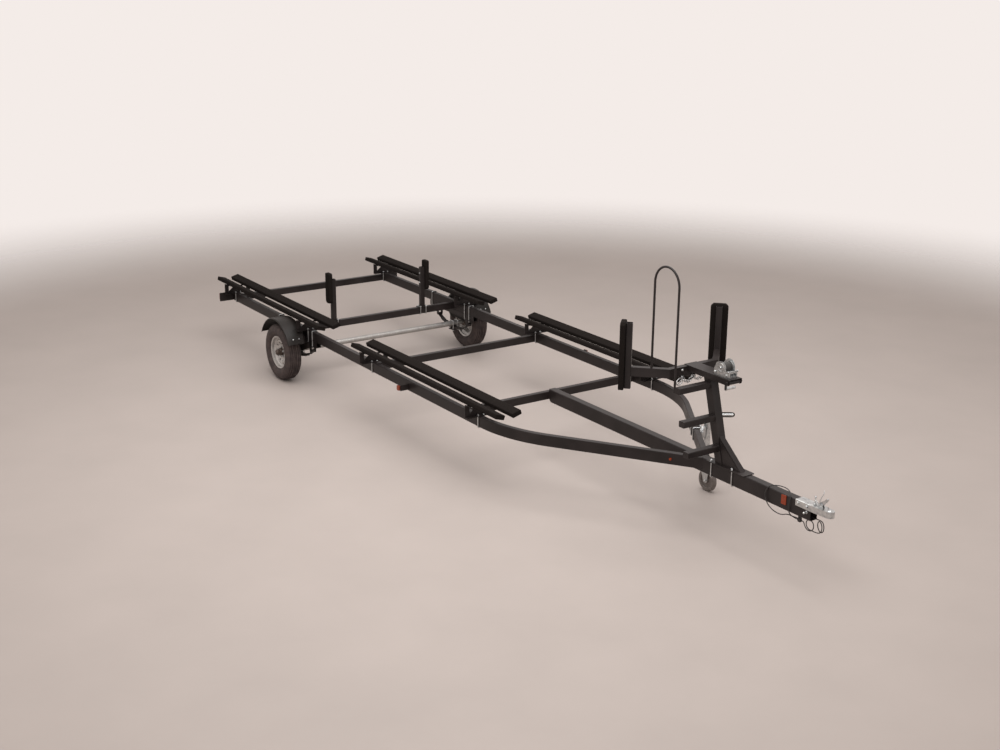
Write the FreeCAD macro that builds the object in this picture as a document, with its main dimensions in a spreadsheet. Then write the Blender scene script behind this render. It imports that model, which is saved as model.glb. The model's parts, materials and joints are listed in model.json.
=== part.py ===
import FreeCAD, Part
import math
import os
from FreeCAD import Placement, Rotation, Vector

# A single-axle trailer for a boat that floats on two long hulls.
# Millimetres, +X towards the coupler, +Y to the left, +Z up, wheels on z = 0.
# Along the trailer, x is first measured from the rear end of the side rails.

DOC = FreeCAD.newDocument("boat_trailer")
SHEET = DOC.addObject("Spreadsheet::Sheet", "Sizes")

SIZES = {
    # side rails, crossmembers and tongue
    "rail_top": 588.6,
    "rail_height": 101.6,
    "rail_width": 50.8,
    "tube_wall": 3.2,
    "tube_corner": 6.0,
    "rail_bend_radius": 1280.0,
    "rail_bend_angle": 34.3,
    "cross_height": 76.2,
    "cross_width": 50.8,
    "last_cross_setback": 365.0,
    "tongue_width": 76.2,
    "tongue_height": 127.0,
    "tongue_ahead": 703.0,
    "tongue_heel_radius": 55.0,
    # bunk boards with their carpet, in shallow V cradles over the rails
    "bunk_length": 2620.0,
    "bunk_width": 97.0,
    "bunk_thickness": 46.0,
    "bunk_tilt_angle": 16.0,
    "bunk_half_spread": 127.0,
    "bunk_edge_height": 750.0,
    "rear_bunk_overhang": 215.0,
    "bunk_gap": 725.0,
    "bracket_half_width": 158.0,
    "bracket_ear_width": 48.0,
    "bracket_plate": 6.0,
    "bracket_depth": 40.0,
    "rear_bracket_inset": 283.0,
    "front_bracket_inset": 247.0,
    "bracket_end_inset": 440.0,
    "bend_setback": 20.0,
    "soft_gap": 0.3,
    # axle, springs and hanger frames
    "axle_setback": 276.0,
    "overall_width": 2568.0,
    "wheel_radius": 306.0,
    "tyre_width": 178.0,
    "wheel_gap": 86.0,
    "tyre_shoulder": 25.0,
    "bead_radius": 165.0,
    "flange_radius": 179.0,
    "rim_width": 126.0,
    "rim_thickness": 4.0,
    "rim_well": 22.0,
    "rim_slope": 14.0,
    "rim_inner_seat": 28.0,
    "rim_outer_seat": 32.0,
    "disc_rise": 29.0,
    "disc_face_radius": 82.0,
    "disc_bore_radius": 44.0,
    "vent_count": 10,
    "vent_radius": 11.0,
    "axle_radius": 30.0,
    "spindle_radius": 20.0,
    "spindle_root": 145.0,
    "spindle_reach": 37.0,
    "hub_radius": 40.0,
    "hub_back": 75.0,
    "hub_flange_radius": 70.0,
    "hub_flange": 12.0,
    "hub_nose": 44.0,
    "cap_step": 8.0,
    "cap_end": 80.0,
    "running_gap": 0.3,
    "shaft_gap": 0.08,
    "spring_half_span": 320.0,
    "spring_sag": 85.0,
    "leaf_width": 45.0,
    "leaf_thickness": 6.5,
    "leaf_count": 4,
    "clip_sheet": 4.0,
    "clip_length": 26.0,
    "spring_seat": 8.0,
    "hanger_half_width": 30.0,
    "hanger_foot_radius": 20.0,
    "hanger_rail_height": 60.0,
    "hanger_rail_rear": 490.0,
    "hanger_rail_front": 460.0,
    "hanger_bolt_rear": 439.0,
    "hanger_bolt_front": 371.0,
    "bolt_rod": 10.0,
    # fenders
    "fender_radius": 380.0,
    "fender_skin": 3.0,
    "fender_shoulder": 48.0,
    "fender_inward": 127.0,
    "fender_outward": 97.0,
    "fender_sweep_angle": 130.0,
    "fender_lip": 14.0,
    "fender_turnup": 10.0,
    "skirt_half": 200.0,
    "skirt_front": 385.0,
    "skirt_height": 40.0,
    "skirt_front_height": 112.0,
    # lamps
    "tail_plate_width": 180.0,
    "tail_plate_height": 102.0,
    "tail_plate_above": 10.0,
    "tail_lamp_depth": 45.0,
    "lamp_sheet": 4.0,
    "lamp_corner": 8.0,
    "lamp_flange": 50.0,
    "marker_height": 56.0,
    "marker_rise": 40.0,
    "marker_depth": 16.0,
    "small_lamp_radius": 11.0,
    "reflector_length": 50.0,
    "reflector_height": 76.0,
    "reflector_drop": 45.0,
    "marker_setback": 960.0,
    "marker_reach": 92.0,
    "small_lamp_run": 1076.0,
    "reflector_setback": 275.0,
    # rear guides on the second crossmember
    "guide_tube": 50.8,
    "rear_guide_half": 567.0,
    "rear_pad_bottom": 765.0,
    "rear_pad_top": 1105.0,
    "rear_post_top": 1030.0,
    # winch stand on the tongue
    "post_size": 76.2,
    "post_foot_setback": 125.0,
    "post_lean_angle": 15.4,
    "stand_plate": 6.0,
    "stand_gap": 60.6,
    "stand_plate_length": 437.0,
    "stand_plate_width": 122.0,
    "brace_rise": 225.0,
    "brace_depth": 75.0,
    "brace_width": 50.8,
    "brace_setback": 68.0,
    "stand_bolt_rear": 45.0,
    "stand_bolt_front": 150.0,
    "arm_top": 1325.0,
    "arm_height": 76.2,
    "arm_width": 50.8,
    "arm_setback": 415.0,
    "arm_bend_half": 250.0,
    "arm_bend_angle": 45.0,
    "arm_run": 304.0,
    "front_pad_width": 150.0,
    "front_pad_bottom": 1134.0,
    "front_pad_top": 1705.0,
    "post_short": 15.0,
    "step_reach": 327.0,
    "step_depth": 64.0,
    "step_height": 51.0,
    "low_step_top": 748.0,
    "middle_step_top": 987.0,
    "top_step_top": 1246.0,
    "rail_rod": 19.0,
    "hand_rail_ahead": 13.0,
    "hand_rail_top": 2197.0,
    "table_width": 130.0,
    "table_leg": 45.0,
    "table_sheet": 5.0,
    "table_reach": 100.0,
    "roller_radius": 17.0,
    # winch
    "winch_setback": 30.0,
    "drum_height": 70.0,
    "drum_radius": 22.0,
    "drum_flange": 50.0,
    "strap_radius": 39.0,
    "gear_radius": 60.0,
    "gear_teeth": 45,
    "pinion_teeth": 12,
    "gear_thickness": 6.0,
    "winch_cheek": 42.0,
    "winch_sheet": 3.0,
    "winch_front": 95.0,
    "winch_rear": 78.0,
    "winch_shoulder": 50.0,
    "drum_shaft": 9.0,
    "drum_side_gap": 2.0,
    "pinion_shaft": 7.0,
    "crank_length": 170.0,
    "crank_arm_width": 26.0,
    "crank_sheet": 6.0,
    "crank_grip_radius": 13.0,
    "crank_grip_length": 95.0,
    # swivel jack on the left arm of the frame
    "jack_run": 616.5,
    "jack_reach": 78.7,
    "jack_pivot_height": 538.0,
    "jack_tube_radius": 28.6,
    "jack_tube_wall": 3.2,
    "jack_tube_bottom": 262.0,
    "jack_tube_top": 622.0,
    "jack_slide_gap": 0.5,
    "jack_cap": 8.0,
    "jack_foot": 8.0,
    "caster_radius": 101.6,
    "caster_width": 45.0,
    "caster_trail": 38.0,
    "caster_pin": 8.0,
    "jack_plate": 8.0,
    "jack_plate_length": 150.0,
    "jack_boss": 16.0,
    "jack_boss_radius": 42.0,
    "jack_flange_radius": 52.0,
    "jack_flange": 12.0,
    "jack_pin_radius": 11.0,
    "jack_bearing": 26.0,
    "jack_bolt_spread": 62.0,
    "jack_crank_reach": 122.0,
    "jack_crank_lift": 132.0,
    "jack_crank_width": 24.0,
    "jack_grip_radius": 14.0,
    "jack_grip_length": 115.0,
    "fork_sheet": 5.0,
    "fork_crown": 10.0,
    "fork_gap": 3.0,
    "clearance": 5.0,
    # coupler for a 50.8 mm ball
    "coupler_overlap": 153.0,
    "ball_ahead": 157.0,
    "socket_radius": 25.8,
    "coupler_sheet": 5.0,
    "coupler_side": 45.0,
    "coupler_taper": 45.0,
    "socket_drop": 18.0,
    "neck_half": 12.0,
    "neck_setback": 58.0,
    "latch_setback": 92.0,
    "latch_ear": 34.0,
    "latch_sheet": 5.0,
    "latch_lever": 17.0,
    "latch_rise": 88.0,
    # wiring at the tongue's end
    "cable_radius": 4.0,
    "coil_radius": 42.0,
    "clip_setback": 135.0,
    "clip_width": 28.0,
    "clip_thickness": 12.0,
    "clip_drop": 58.0,
}

# Places that follow from the driving sizes, worked out by the sheet itself
ARM_COS = "cos(rail_bend_angle * 1 deg)"
ARM_SIN = "sin(rail_bend_angle * 1 deg)"
WORKED_OUT = {
    "frame_width": "overall_width - 2 * (tyre_width + wheel_gap)",
    "wheel_y": "(overall_width - tyre_width) / 2",
    "front_bunk_start": "bunk_length - rear_bunk_overhang + bunk_gap",
    "far_bracket_inset": "bunk_length - bracket_end_inset",
    "rail_straight": "front_bunk_start + far_bracket_inset + bend_setback",
    "cross_pitch": "(rail_straight - last_cross_setback) / 3",
    "axle_x": "far_bracket_inset - rear_bunk_overhang - axle_setback",
    "axle_tube_half": "wheel_y - spindle_root",
    "spindle_end": "wheel_y + spindle_reach",
    "fender_inner_side": "wheel_y - fender_inward",
    "fender_outer_side": "wheel_y + fender_outward",
    "marker_x": "front_bunk_start + marker_setback",
    "arm_start_x": "rail_straight + rail_bend_radius * " + ARM_SIN,
    "arm_start_y": "frame_width / 2 - rail_bend_radius * (1 - %s)" % ARM_COS,
    "jack_x": "arm_start_x + jack_run * %s + jack_reach * %s" % (ARM_COS, ARM_SIN),
    "jack_y": "arm_start_y - jack_run * %s + jack_reach * %s" % (ARM_SIN, ARM_COS),
    "arm_meet_x": "arm_start_x + (arm_start_y - tongue_width / 2) * %s / %s" % (ARM_COS, ARM_SIN),
    "stand_plate_rear": "round(arm_meet_x + stand_gap)",
    "stand_plate_front": "stand_plate_rear + stand_plate_length",
    "post_foot_x": "stand_plate_rear + post_foot_setback",
    "arm_x": "post_foot_x - arm_setback",
    "winch_x": "post_foot_x - winch_setback",
    "table_front": "post_foot_x + table_reach",
    "hand_rail_y": "post_size / 2 + step_reach - rail_rod / 2 - 2 * soft_gap",
    "hand_rail_rear_x": "arm_x - hand_rail_y + arm_bend_half + hand_rail_ahead",
    "tongue_front": "stand_plate_front + tongue_ahead",
    "reflector_x": "tongue_front - reflector_setback",
    "coupler_rear": "tongue_front - coupler_overlap",
    "clip_x": "tongue_front - clip_setback",
    "ball_x": "tongue_front + ball_ahead",
    "pinion_radius": "gear_radius * pinion_teeth / gear_teeth",
}


def fill_sheet():
    """Writes every size into the sheet, with its name as the alias."""
    cells = {name: str(value) for name, value in SIZES.items()}
    cells.update({name: "=" + formula for name, formula in WORKED_OUT.items()})
    for row, (name, value) in enumerate(cells.items(), start=1):
        SHEET.set("A%d" % row, name.replace("_", " "))
        SHEET.set("B%d" % row, value)
        SHEET.setAlias("B%d" % row, name)
    DOC.recompute()


def size(name):
    """Reads one driving size back from the sheet."""
    return float(SHEET.get(name))


fill_sheet()

RAIL_BOTTOM = size("rail_top") - size("rail_height")
RAIL_Y = (size("frame_width") - size("rail_width")) / 2
REAR_TIP = -size("rear_bunk_overhang")
FRONT_TIP = size("ball_x") + size("socket_radius") + 2 * size("coupler_sheet")
MIDDLE_X = (REAR_TIP + FRONT_TIP) / 2
WHEEL_Y = size("wheel_y")
TONGUE_SIDE = size("tongue_width") / 2
TONGUE_BOTTOM = size("rail_top") - size("tongue_height")
SIDES = {"left": 1, "right": -1}
ABOUT_X = Vector(1, 0, 0)
ABOUT_Y = Vector(0, 1, 0)
ABOUT_Z = Vector(0, 0, 1)


# Shapes in a sketch


def corner_loop(points, radii=0.0):
    """A closed outline through the points, each corner rounded by its radius."""
    corners = [Vector(p[0], p[1], 0) for p in points]
    if not isinstance(radii, (list, tuple)):
        radii = [radii] * len(corners)
    entries, exits, edges = [], [], []
    for i, corner in enumerate(corners):
        back = (corners[i - 1] - corner).normalize()
        ahead = (corners[(i + 1) % len(corners)] - corner).normalize()
        if radii[i] <= 0:
            entries.append(corner)
            exits.append(corner)
            continue
        half = back.getAngle(ahead) / 2
        run = radii[i] / math.tan(half)
        middle = (back + ahead).normalize()
        reach = radii[i] / math.sin(half)
        entries.append(corner + back * run)
        exits.append(corner + ahead * run)
        edges.append(Part.Arc(entries[i], corner + middle * (reach - radii[i]), exits[i]))
    for i in range(len(corners)):
        start, end = exits[i - 1], entries[i]
        if (end - start).Length > 1e-6:
            edges.append(Part.LineSegment(start, end))
    return edges


def box_loop(width, height, radius=0.0, centre=(0.0, 0.0)):
    """A rectangle about its centre, with rounded corners."""
    u, v = centre
    points = [(u - width / 2, v - height / 2), (u + width / 2, v - height / 2),
              (u + width / 2, v + height / 2), (u - width / 2, v + height / 2)]
    return corner_loop(points, radius)


def tube_loops(width, height, wall, radius, centre=(0.0, 0.0)):
    """The two outlines of a rectangular tube."""
    inner = max(radius - wall, wall / 2)
    return (box_loop(width, height, radius, centre)
            + box_loop(width - 2 * wall, height - 2 * wall, inner, centre))


def ring(radius, centre=(0.0, 0.0)):
    """A full circle."""
    return [Part.Circle(Vector(centre[0], centre[1], 0), Vector(0, 0, 1), radius)]


# Bodies and their features


def new_body(label, at=(0.0, 0.0, 0.0), turn=None):
    """An empty body whose origin lies at a place on the trailer."""
    body = DOC.addObject("PartDesign::Body", label)
    body.Label = label
    body.Placement = Placement(Vector(at[0] - MIDDLE_X, at[1], at[2]), turn or Rotation())
    return body


def sketch(body, role, edges, lift=0.0, shift=(0.0, 0.0), turn=None):
    """A sketch on one of the body's own origin planes."""
    drawing = body.newObject("Sketcher::SketchObject", "Sketch")
    plane = next(f for f in body.Origin.OriginFeatures if f.Role == role)
    drawing.AttachmentSupport = [(plane, "")]
    drawing.MapMode = "FlatFace"
    drawing.AttachmentOffset = Placement(Vector(shift[0], shift[1], lift), turn or Rotation())
    drawing.addGeometry(edges)
    return drawing


def bind(feature, name, value):
    """Ties a feature's size to the sheet, or gives it a worked-out length."""
    if isinstance(value, str):
        feature.setExpression(name, value)
    else:
        setattr(feature, name, value)


def slab(body, role, edges, low, high, length=None):
    """Pads an outline from low to high along the plane's own axis."""
    lift = -high if role == "XZ_Plane" else low
    pad = body.newObject("PartDesign::Pad", "Pad")
    pad.Profile = sketch(body, role, edges, lift)
    bind(pad, "Length", length or high - low)
    return pad


def cut(body, role, edges, low, high, length=None):
    """Removes an outline from low to high along the plane's own axis."""
    lift = -low if role == "XZ_Plane" else high
    pocket = body.newObject("PartDesign::Pocket", "Pocket")
    pocket.Profile = sketch(body, role, edges, lift)
    bind(pocket, "Length", length or high - low)
    return pocket


def spin(body, edges, role="XY_Plane", axis="V_Axis", angle=360.0, start=0.0):
    """Turns an outline about an axis of its sketch."""
    feature = body.newObject("PartDesign::Revolution", "Revolution")
    turn = Rotation(Vector(0, 1, 0), start)
    drawing = sketch(body, role, edges, turn=turn)
    feature.Profile = drawing
    feature.ReferenceAxis = (drawing, [axis])
    bind(feature, "Angle", angle)
    return feature


def sweep(body, profile, path, count):
    """Runs a profile along a path of the given number of edges."""
    pipe = body.newObject("PartDesign::AdditivePipe", "Pipe")
    pipe.Profile = profile
    pipe.Spine = (path, ["Edge%d" % (i + 1) for i in range(count)])
    return pipe


def compound(label, bodies):
    """Several like pieces that share one node and do not touch."""
    group = DOC.addObject("Part::Compound", label)
    group.Label = label
    group.Links = bodies
    return group


def fuse(label, bodies):
    """Pieces welded into one."""
    joined = DOC.addObject("Part::MultiFuse", label)
    joined.Label = label
    joined.Shapes = bodies
    return joined


def u_bolt(label, inner_width, leg, at, turn=None):
    """A square U-bolt, open upwards, its crossbar just under the body's origin."""
    rod = size("bolt_rod") / 2
    half = inner_width / 2 + rod + size("running_gap")
    floor = -rod - size("running_gap")
    bend = size("tube_corner") + rod
    body = new_body(label, at, turn)
    profile = sketch(body, "XY_Plane", ring(rod, (0.0, half)), lift=leg)
    slant = bend * (1 - math.sqrt(0.5))
    lines = [
        Part.LineSegment(Vector(half, leg, 0), Vector(half, floor + bend, 0)),
        Part.Arc(Vector(half, floor + bend, 0), Vector(half - slant, floor + slant, 0),
                 Vector(half - bend, floor, 0)),
        Part.LineSegment(Vector(half - bend, floor, 0), Vector(bend - half, floor, 0)),
        Part.Arc(Vector(bend - half, floor, 0), Vector(slant - half, floor + slant, 0),
                 Vector(-half, floor + bend, 0)),
        Part.LineSegment(Vector(-half, floor + bend, 0), Vector(-half, leg, 0)),
    ]
    path = sketch(body, "YZ_Plane", lines)
    sweep(body, profile, path, len(lines))
    return body


# Frame


def side_rail(name, side):
    """A rail that runs straight, then bends inwards to the tongue."""
    width, height = size("rail_width"), size("rail_height")
    label = "side_rail_" + name
    body = new_body(label, (0.0, side * RAIL_Y, size("rail_top") - height / 2))
    edges = tube_loops(width, height, size("tube_wall"), size("tube_corner"))
    profile = sketch(body, "YZ_Plane", edges)
    angle = math.radians(size("rail_bend_angle"))
    radius = size("rail_bend_radius") - width / 2
    straight = size("rail_straight")
    drop = radius * (1 - math.cos(angle))
    run = (RAIL_Y - drop - TONGUE_SIDE) / math.sin(angle) + 2 * width
    centre = Vector(straight, -side * radius, 0)
    bend_start = Vector(straight, 0, 0)
    bend_middle = centre + Vector(radius * math.sin(angle / 2),
                                  side * radius * math.cos(angle / 2), 0)
    bend_end = centre + Vector(radius * math.sin(angle), side * radius * math.cos(angle), 0)
    end = bend_end + Vector(math.cos(angle), -side * math.sin(angle), 0) * run
    path = sketch(body, "XY_Plane", [
        Part.LineSegment(Vector(0, 0, 0), bend_start),
        Part.Arc(bend_start, bend_middle, bend_end),
        Part.LineSegment(bend_end, end),
    ])
    sweep(body, profile, path, 3)
    tongue_face = side * (TONGUE_SIDE - RAIL_Y)
    beyond = side * (-RAIL_Y - 10 * width)
    trim = [(straight, tongue_face), (end.x + 10 * width, tongue_face),
            (end.x + 10 * width, beyond), (straight, beyond)]
    cut(body, "XY_Plane", corner_loop(trim), -height, height)
    return body


def crossmember_x(index):
    """The middle of a crossmember, counted from the rear."""
    return size("cross_width") / 2 + index * size("cross_pitch")


def crossmember(index):
    """A tube between the rails, its underside level with theirs."""
    body = new_body("crossmember_%d" % (index + 1),
                    (crossmember_x(index), 0.0, RAIL_BOTTOM + size("cross_height") / 2))
    edges = tube_loops(size("cross_width"), size("cross_height"),
                       size("tube_wall"), size("tube_corner"))
    inside = size("frame_width") / 2 - size("rail_width")
    slab(body, "XZ_Plane", edges, -inside, inside,
         "Sizes.frame_width - 2 * Sizes.rail_width")
    return body


def tongue_beam():
    """The centre tube, from the last crossmember to the coupler, its heel rounded."""
    rear = crossmember_x(3) + size("cross_width") / 2
    height = size("tongue_height")
    body = new_body("tongue_beam", (rear, 0.0, size("rail_top") - height / 2))
    edges = tube_loops(size("tongue_width"), height, 1.5 * size("tube_wall"),
                       1.5 * size("tube_corner"))
    slab(body, "YZ_Plane", edges, 0.0, size("tongue_front") - rear)
    heel = size("tongue_heel_radius")
    low = -height / 2
    outline = [
        Part.LineSegment(Vector(-1, low + heel, 0), Vector(-1, low - 1, 0)),
        Part.LineSegment(Vector(-1, low - 1, 0), Vector(heel, low - 1, 0)),
        Part.LineSegment(Vector(heel, low - 1, 0), Vector(heel, low, 0)),
        Part.Arc(Vector(heel, low, 0),
                 Vector(heel * (1 - math.sqrt(0.5)), low + heel * (1 - math.sqrt(0.5)), 0),
                 Vector(0, low + heel, 0)),
        Part.LineSegment(Vector(0, low + heel, 0), Vector(-1, low + heel, 0)),
    ]
    cut(body, "XZ_Plane", outline, -TONGUE_SIDE - 1, TONGUE_SIDE + 1)
    return body


# Bunks


def bunk_starts():
    """Where the rear and the front pair of boards begin."""
    return {"rear": REAR_TIP, "front": size("front_bunk_start")}


def bunk_board(label, start, side, outer):
    """One carpeted board, tilted towards the middle of its cradle."""
    tilt = math.radians(size("bunk_tilt_angle"))
    width, thick = size("bunk_width"), size("bunk_thickness")
    reach = (size("bunk_half_spread") - width / 2 * math.cos(tilt)
             + thick / 2 * math.sin(tilt))
    height = (size("bunk_edge_height") - width / 2 * math.sin(tilt)
              - thick / 2 * math.cos(tilt))
    outward = side if outer else -side
    body = new_body(label, (start, side * RAIL_Y + outward * reach, height),
                    Rotation(ABOUT_X, outward * size("bunk_tilt_angle")))
    slab(body, "YZ_Plane", box_loop(width, thick, size("tube_corner")), 0.0,
         size("bunk_length"), "Sizes.bunk_length")
    return body


def bunk_pair(end, name, side):
    """The outer and the inner board of one cradle."""
    start = bunk_starts()[end]
    boards = [bunk_board("board_%s_%s_%s" % (end, name, part), start, side, part == "outer")
              for part in ("outer", "inner")]
    return compound("bunks_%s_%s" % (end, name), boards)


def seat_line():
    """Height of the boards' undersides above the rail, as a function of the distance
    from the cradle's middle, and the distance where a board's lower edge lies."""
    tilt = math.radians(size("bunk_tilt_angle"))
    thick = size("bunk_thickness")
    high_y = size("bunk_half_spread") + thick * math.sin(tilt)
    high_z = size("bunk_edge_height") - thick * math.cos(tilt) - size("rail_top")
    low_y = high_y - size("bunk_width") * math.cos(tilt)

    def height(distance):
        return high_z + (distance - high_y) * math.tan(tilt) - size("soft_gap")

    return height, low_y


def bunk_bracket(label, x, side):
    """A plate across the rail with two eared ends, windows and a seat under each board."""
    under, low_y = seat_line()
    half, plate = size("bracket_half_width"), size("bracket_plate")
    depth, ear = size("bracket_depth"), size("bracket_ear_width")
    body = new_body(label, (x, side * RAIL_Y, size("rail_top")))
    inset = plate / 2
    outline = [(-half, 0), (half, 0), (half, under(half) - inset),
               (low_y, under(low_y) - inset), (-low_y, under(low_y) - inset),
               (-half, under(half) - inset)]
    ear_side = half - ear
    window = [(ear_side, 5 * plate), (ear_side, under(ear_side) - 2.5 * plate),
              (low_y + plate, under(low_y + plate) - 2.5 * plate)]
    mirrored = [(-y, z) for y, z in reversed(window)]
    edges = corner_loop(outline) + corner_loop(window, 3.0) + corner_loop(mirrored, 3.0)
    slab(body, "YZ_Plane", edges, -depth / 2, plate - depth / 2)
    flanges = box_loop(2 * half, plate, 0.0, (0.0, plate / 2))
    for way in (1, -1):
        seat = [(way * low_y, under(low_y)), (way * half, under(half)),
                (way * half, under(half) - plate), (way * low_y, under(low_y) - plate)]
        flanges += corner_loop(seat)
    slab(body, "YZ_Plane", flanges, -depth / 2, depth / 2, "Sizes.bracket_depth")
    leg = size("rail_width") / 2 + size("bolt_rod") / 2 + size("running_gap")
    hole = size("bolt_rod") / 2 + size("running_gap")
    cut(body, "XY_Plane", ring(hole, (0.0, leg)) + ring(hole, (0.0, -leg)), -1, plate + 1)
    return body


def bracket_places():
    """Where the four brackets of one side stand along the rail."""
    starts = bunk_starts()
    return [starts["rear"] + size("rear_bracket_inset"),
            starts["rear"] + size("far_bracket_inset"),
            starts["front"] + size("front_bracket_inset"),
            starts["front"] + size("far_bracket_inset")]


def bunk_brackets(name, side):
    """All brackets of one side."""
    return compound("bunk_brackets_" + name, [
        bunk_bracket("bracket_%s_%d" % (name, i + 1), x, side)
        for i, x in enumerate(bracket_places())])


# Running gear


def axle():
    """A straight round axle with a stepped spindle at each end."""
    body = new_body("axle", (size("axle_x"), 0.0, size("wheel_radius")))
    tube, tip = size("axle_tube_half"), size("spindle_end")
    neck = (size("axle_radius") + size("spindle_radius")) / 2
    outline = [(0, -tip), (size("spindle_radius"), -tip), (size("spindle_radius"), -tube - 60),
               (neck, -tube - 50), (neck, -tube), (size("axle_radius"), -tube),
               (size("axle_radius"), tube), (neck, tube), (neck, tube + 50),
               (size("spindle_radius"), tube + 60), (size("spindle_radius"), tip), (0, tip)]
    spin(body, corner_loop(outline))
    return body


def spring_top():
    """Height of the spring's upper surface under the axle."""
    return size("wheel_radius") - size("axle_radius") - size("spring_seat")


def leaf_band(inner, outer, start, end, centre_height):
    """A stretch of a curved leaf between two angles from straight down."""
    def point(radius, angle):
        return Vector(radius * math.sin(angle), centre_height - radius * math.cos(angle), 0)

    middle = (start + end) / 2
    return [
        Part.Arc(point(inner, start), point(inner, middle), point(inner, end)),
        Part.LineSegment(point(inner, end), point(outer, end)),
        Part.Arc(point(outer, end), point(outer, middle), point(outer, start)),
        Part.LineSegment(point(outer, start), point(inner, start)),
    ]


def spring_radius():
    """Bend radius of the main leaf's upper surface."""
    span, sag = size("spring_half_span"), size("spring_sag")
    return (span * span + sag * sag) / (2 * sag)


def eye_place():
    """The middle of the spring's eye, from the middle of the spring's upper surface."""
    radius = spring_radius()
    angle = math.asin(size("spring_half_span") / radius)
    reach = radius + size("leaf_thickness") - 2.4 * size("leaf_thickness")
    return reach * math.sin(angle), radius - reach * math.cos(angle)


def leaf_spring(name, side):
    """A pack of leaves under the axle, with its front eye, seat and clamp plate."""
    body = new_body("spring_" + name, (size("axle_x"), side * RAIL_Y, spring_top()))
    radius, thick = spring_radius(), size("leaf_thickness")
    full = math.asin(size("spring_half_span") / radius)
    half_width = size("leaf_width") / 2
    count = int(size("leaf_count"))
    for i in range(count):
        span = full * (1 - i / (count + 0.5))
        overlap = size("soft_gap") / 10 if i < count - 1 else 0.0
        band = leaf_band(radius, radius + thick + overlap, -span, span, radius - i * thick)
        slab(body, "XZ_Plane", band, -half_width, half_width, "Sizes.leaf_width")
    clip = size("clip_sheet")
    for way in (1, -1):
        middle, spread = way * full / 2, size("clip_length") / 2 / radius
        band = leaf_band(radius - clip, radius + (count - 1) * thick + clip,
                         middle - spread, middle + spread, radius)
        slab(body, "XZ_Plane", band, -half_width - clip, half_width + clip)
    eye = eye_place()
    slab(body, "XZ_Plane", ring(2.4 * thick, eye), -half_width, half_width,
         "Sizes.leaf_width")
    cut(body, "XZ_Plane", ring(size("bolt_rod") / 2 + 2 + size("running_gap"), eye),
        -half_width - 1, half_width + 1)
    pack = count * thick
    wide = size("axle_radius") + 2 * size("bolt_rod")
    seat = [(-wide, -pack - size("spring_seat")), (wide, -pack - size("spring_seat")),
            (wide, -pack), (-wide, -pack)]
    slab(body, "XZ_Plane", corner_loop(seat), -half_width - 20, half_width + 20)
    saddle = [(-size("axle_radius"), -thick / 2), (size("axle_radius"), -thick / 2),
              (size("axle_radius"), size("spring_seat") + 8),
              (-size("axle_radius"), size("spring_seat") + 8)]
    slab(body, "XZ_Plane", corner_loop(saddle), -half_width, half_width)
    axle_hole = ring(size("axle_radius") + size("shaft_gap"),
                     (0.0, size("axle_radius") + size("spring_seat")))
    cut(body, "XZ_Plane", axle_hole, -half_width - 1, half_width + 1)
    leg_x = size("axle_radius") + size("bolt_rod") / 2 + size("running_gap")
    holes = []
    for x in (-leg_x, leg_x):
        for y in (-axle_bolt_offset(), axle_bolt_offset()):
            holes += ring(size("bolt_rod") / 2 + size("running_gap"), (x, y))
    low = -pack - size("spring_seat")
    cut(body, "XY_Plane", holes, low - 1, -pack + 1)
    return body


def axle_bolt_offset():
    """Distance of the axle's U-bolts from the middle of the spring, beside the leaves."""
    return size("leaf_width") / 2 + size("clip_sheet") + size("bolt_rod") / 2


def hanger_frame(name, side):
    """The slide rail under the side rail, with both spring hangers and the fender angle."""
    body = new_body("hanger_frame_" + name, (size("axle_x"), side * RAIL_Y, RAIL_BOTTOM))
    tall = size("hanger_rail_height")
    half = size("rail_width") / 2
    edges = tube_loops(size("rail_width"), tall, size("tube_wall"), size("tube_corner"),
                       (0.0, -tall / 2))
    slab(body, "YZ_Plane", edges, -size("hanger_rail_rear"), size("hanger_rail_front"))
    eye_x, eye_z = eye_place()
    drop = spring_top() + eye_z - RAIL_BOTTOM
    cheek = half - size("leaf_width") / 2
    for way in (1, -1):
        low = half if way > 0 else -half - cheek
        for middle in (eye_x, -eye_x):
            wide, foot = size("hanger_half_width"), size("hanger_foot_radius")
            outline = [(middle - wide, -tall / 2), (middle - foot, drop - foot),
                       (middle + foot, drop - foot), (middle + wide, -tall / 2)]
            slab(body, "XZ_Plane", corner_loop(outline, [0, foot - 1, foot - 1, 0]), low,
                 low + cheek)
    for x_sign in (1, -1):
        slab(body, "XZ_Plane", ring(size("bolt_rod") / 2 + 2, (x_sign * eye_x, drop)),
             -half - 2 * cheek, half + 2 * cheek)
    for x in (-size("hanger_bolt_rear"), size("hanger_bolt_front")):
        plate = box_loop(2 * half + 5 * size("bolt_rod"), size("bracket_plate"), 0.0,
                         (0.0, -tall - size("bracket_plate") / 2))
        slab(body, "YZ_Plane", plate, x - 25, x + 25)
        leg = half + size("bolt_rod") / 2 + size("running_gap")
        hole = size("bolt_rod") / 2 + size("running_gap")
        cut(body, "XY_Plane", ring(hole, (x, leg)) + ring(hole, (x, -leg)),
            -tall - 20, -tall + 1)
    gap = size("fender_inner_side") - size("soft_gap") - RAIL_Y
    wall = size("bracket_plate")
    angle = [(side * half, -20), (side * (gap - wall), -20), (side * (gap - wall), -60),
             (side * gap, -60), (side * gap, -20 + wall), (side * half, -20 + wall)]
    slab(body, "YZ_Plane", corner_loop(angle), -140, 110)
    return body


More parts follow.
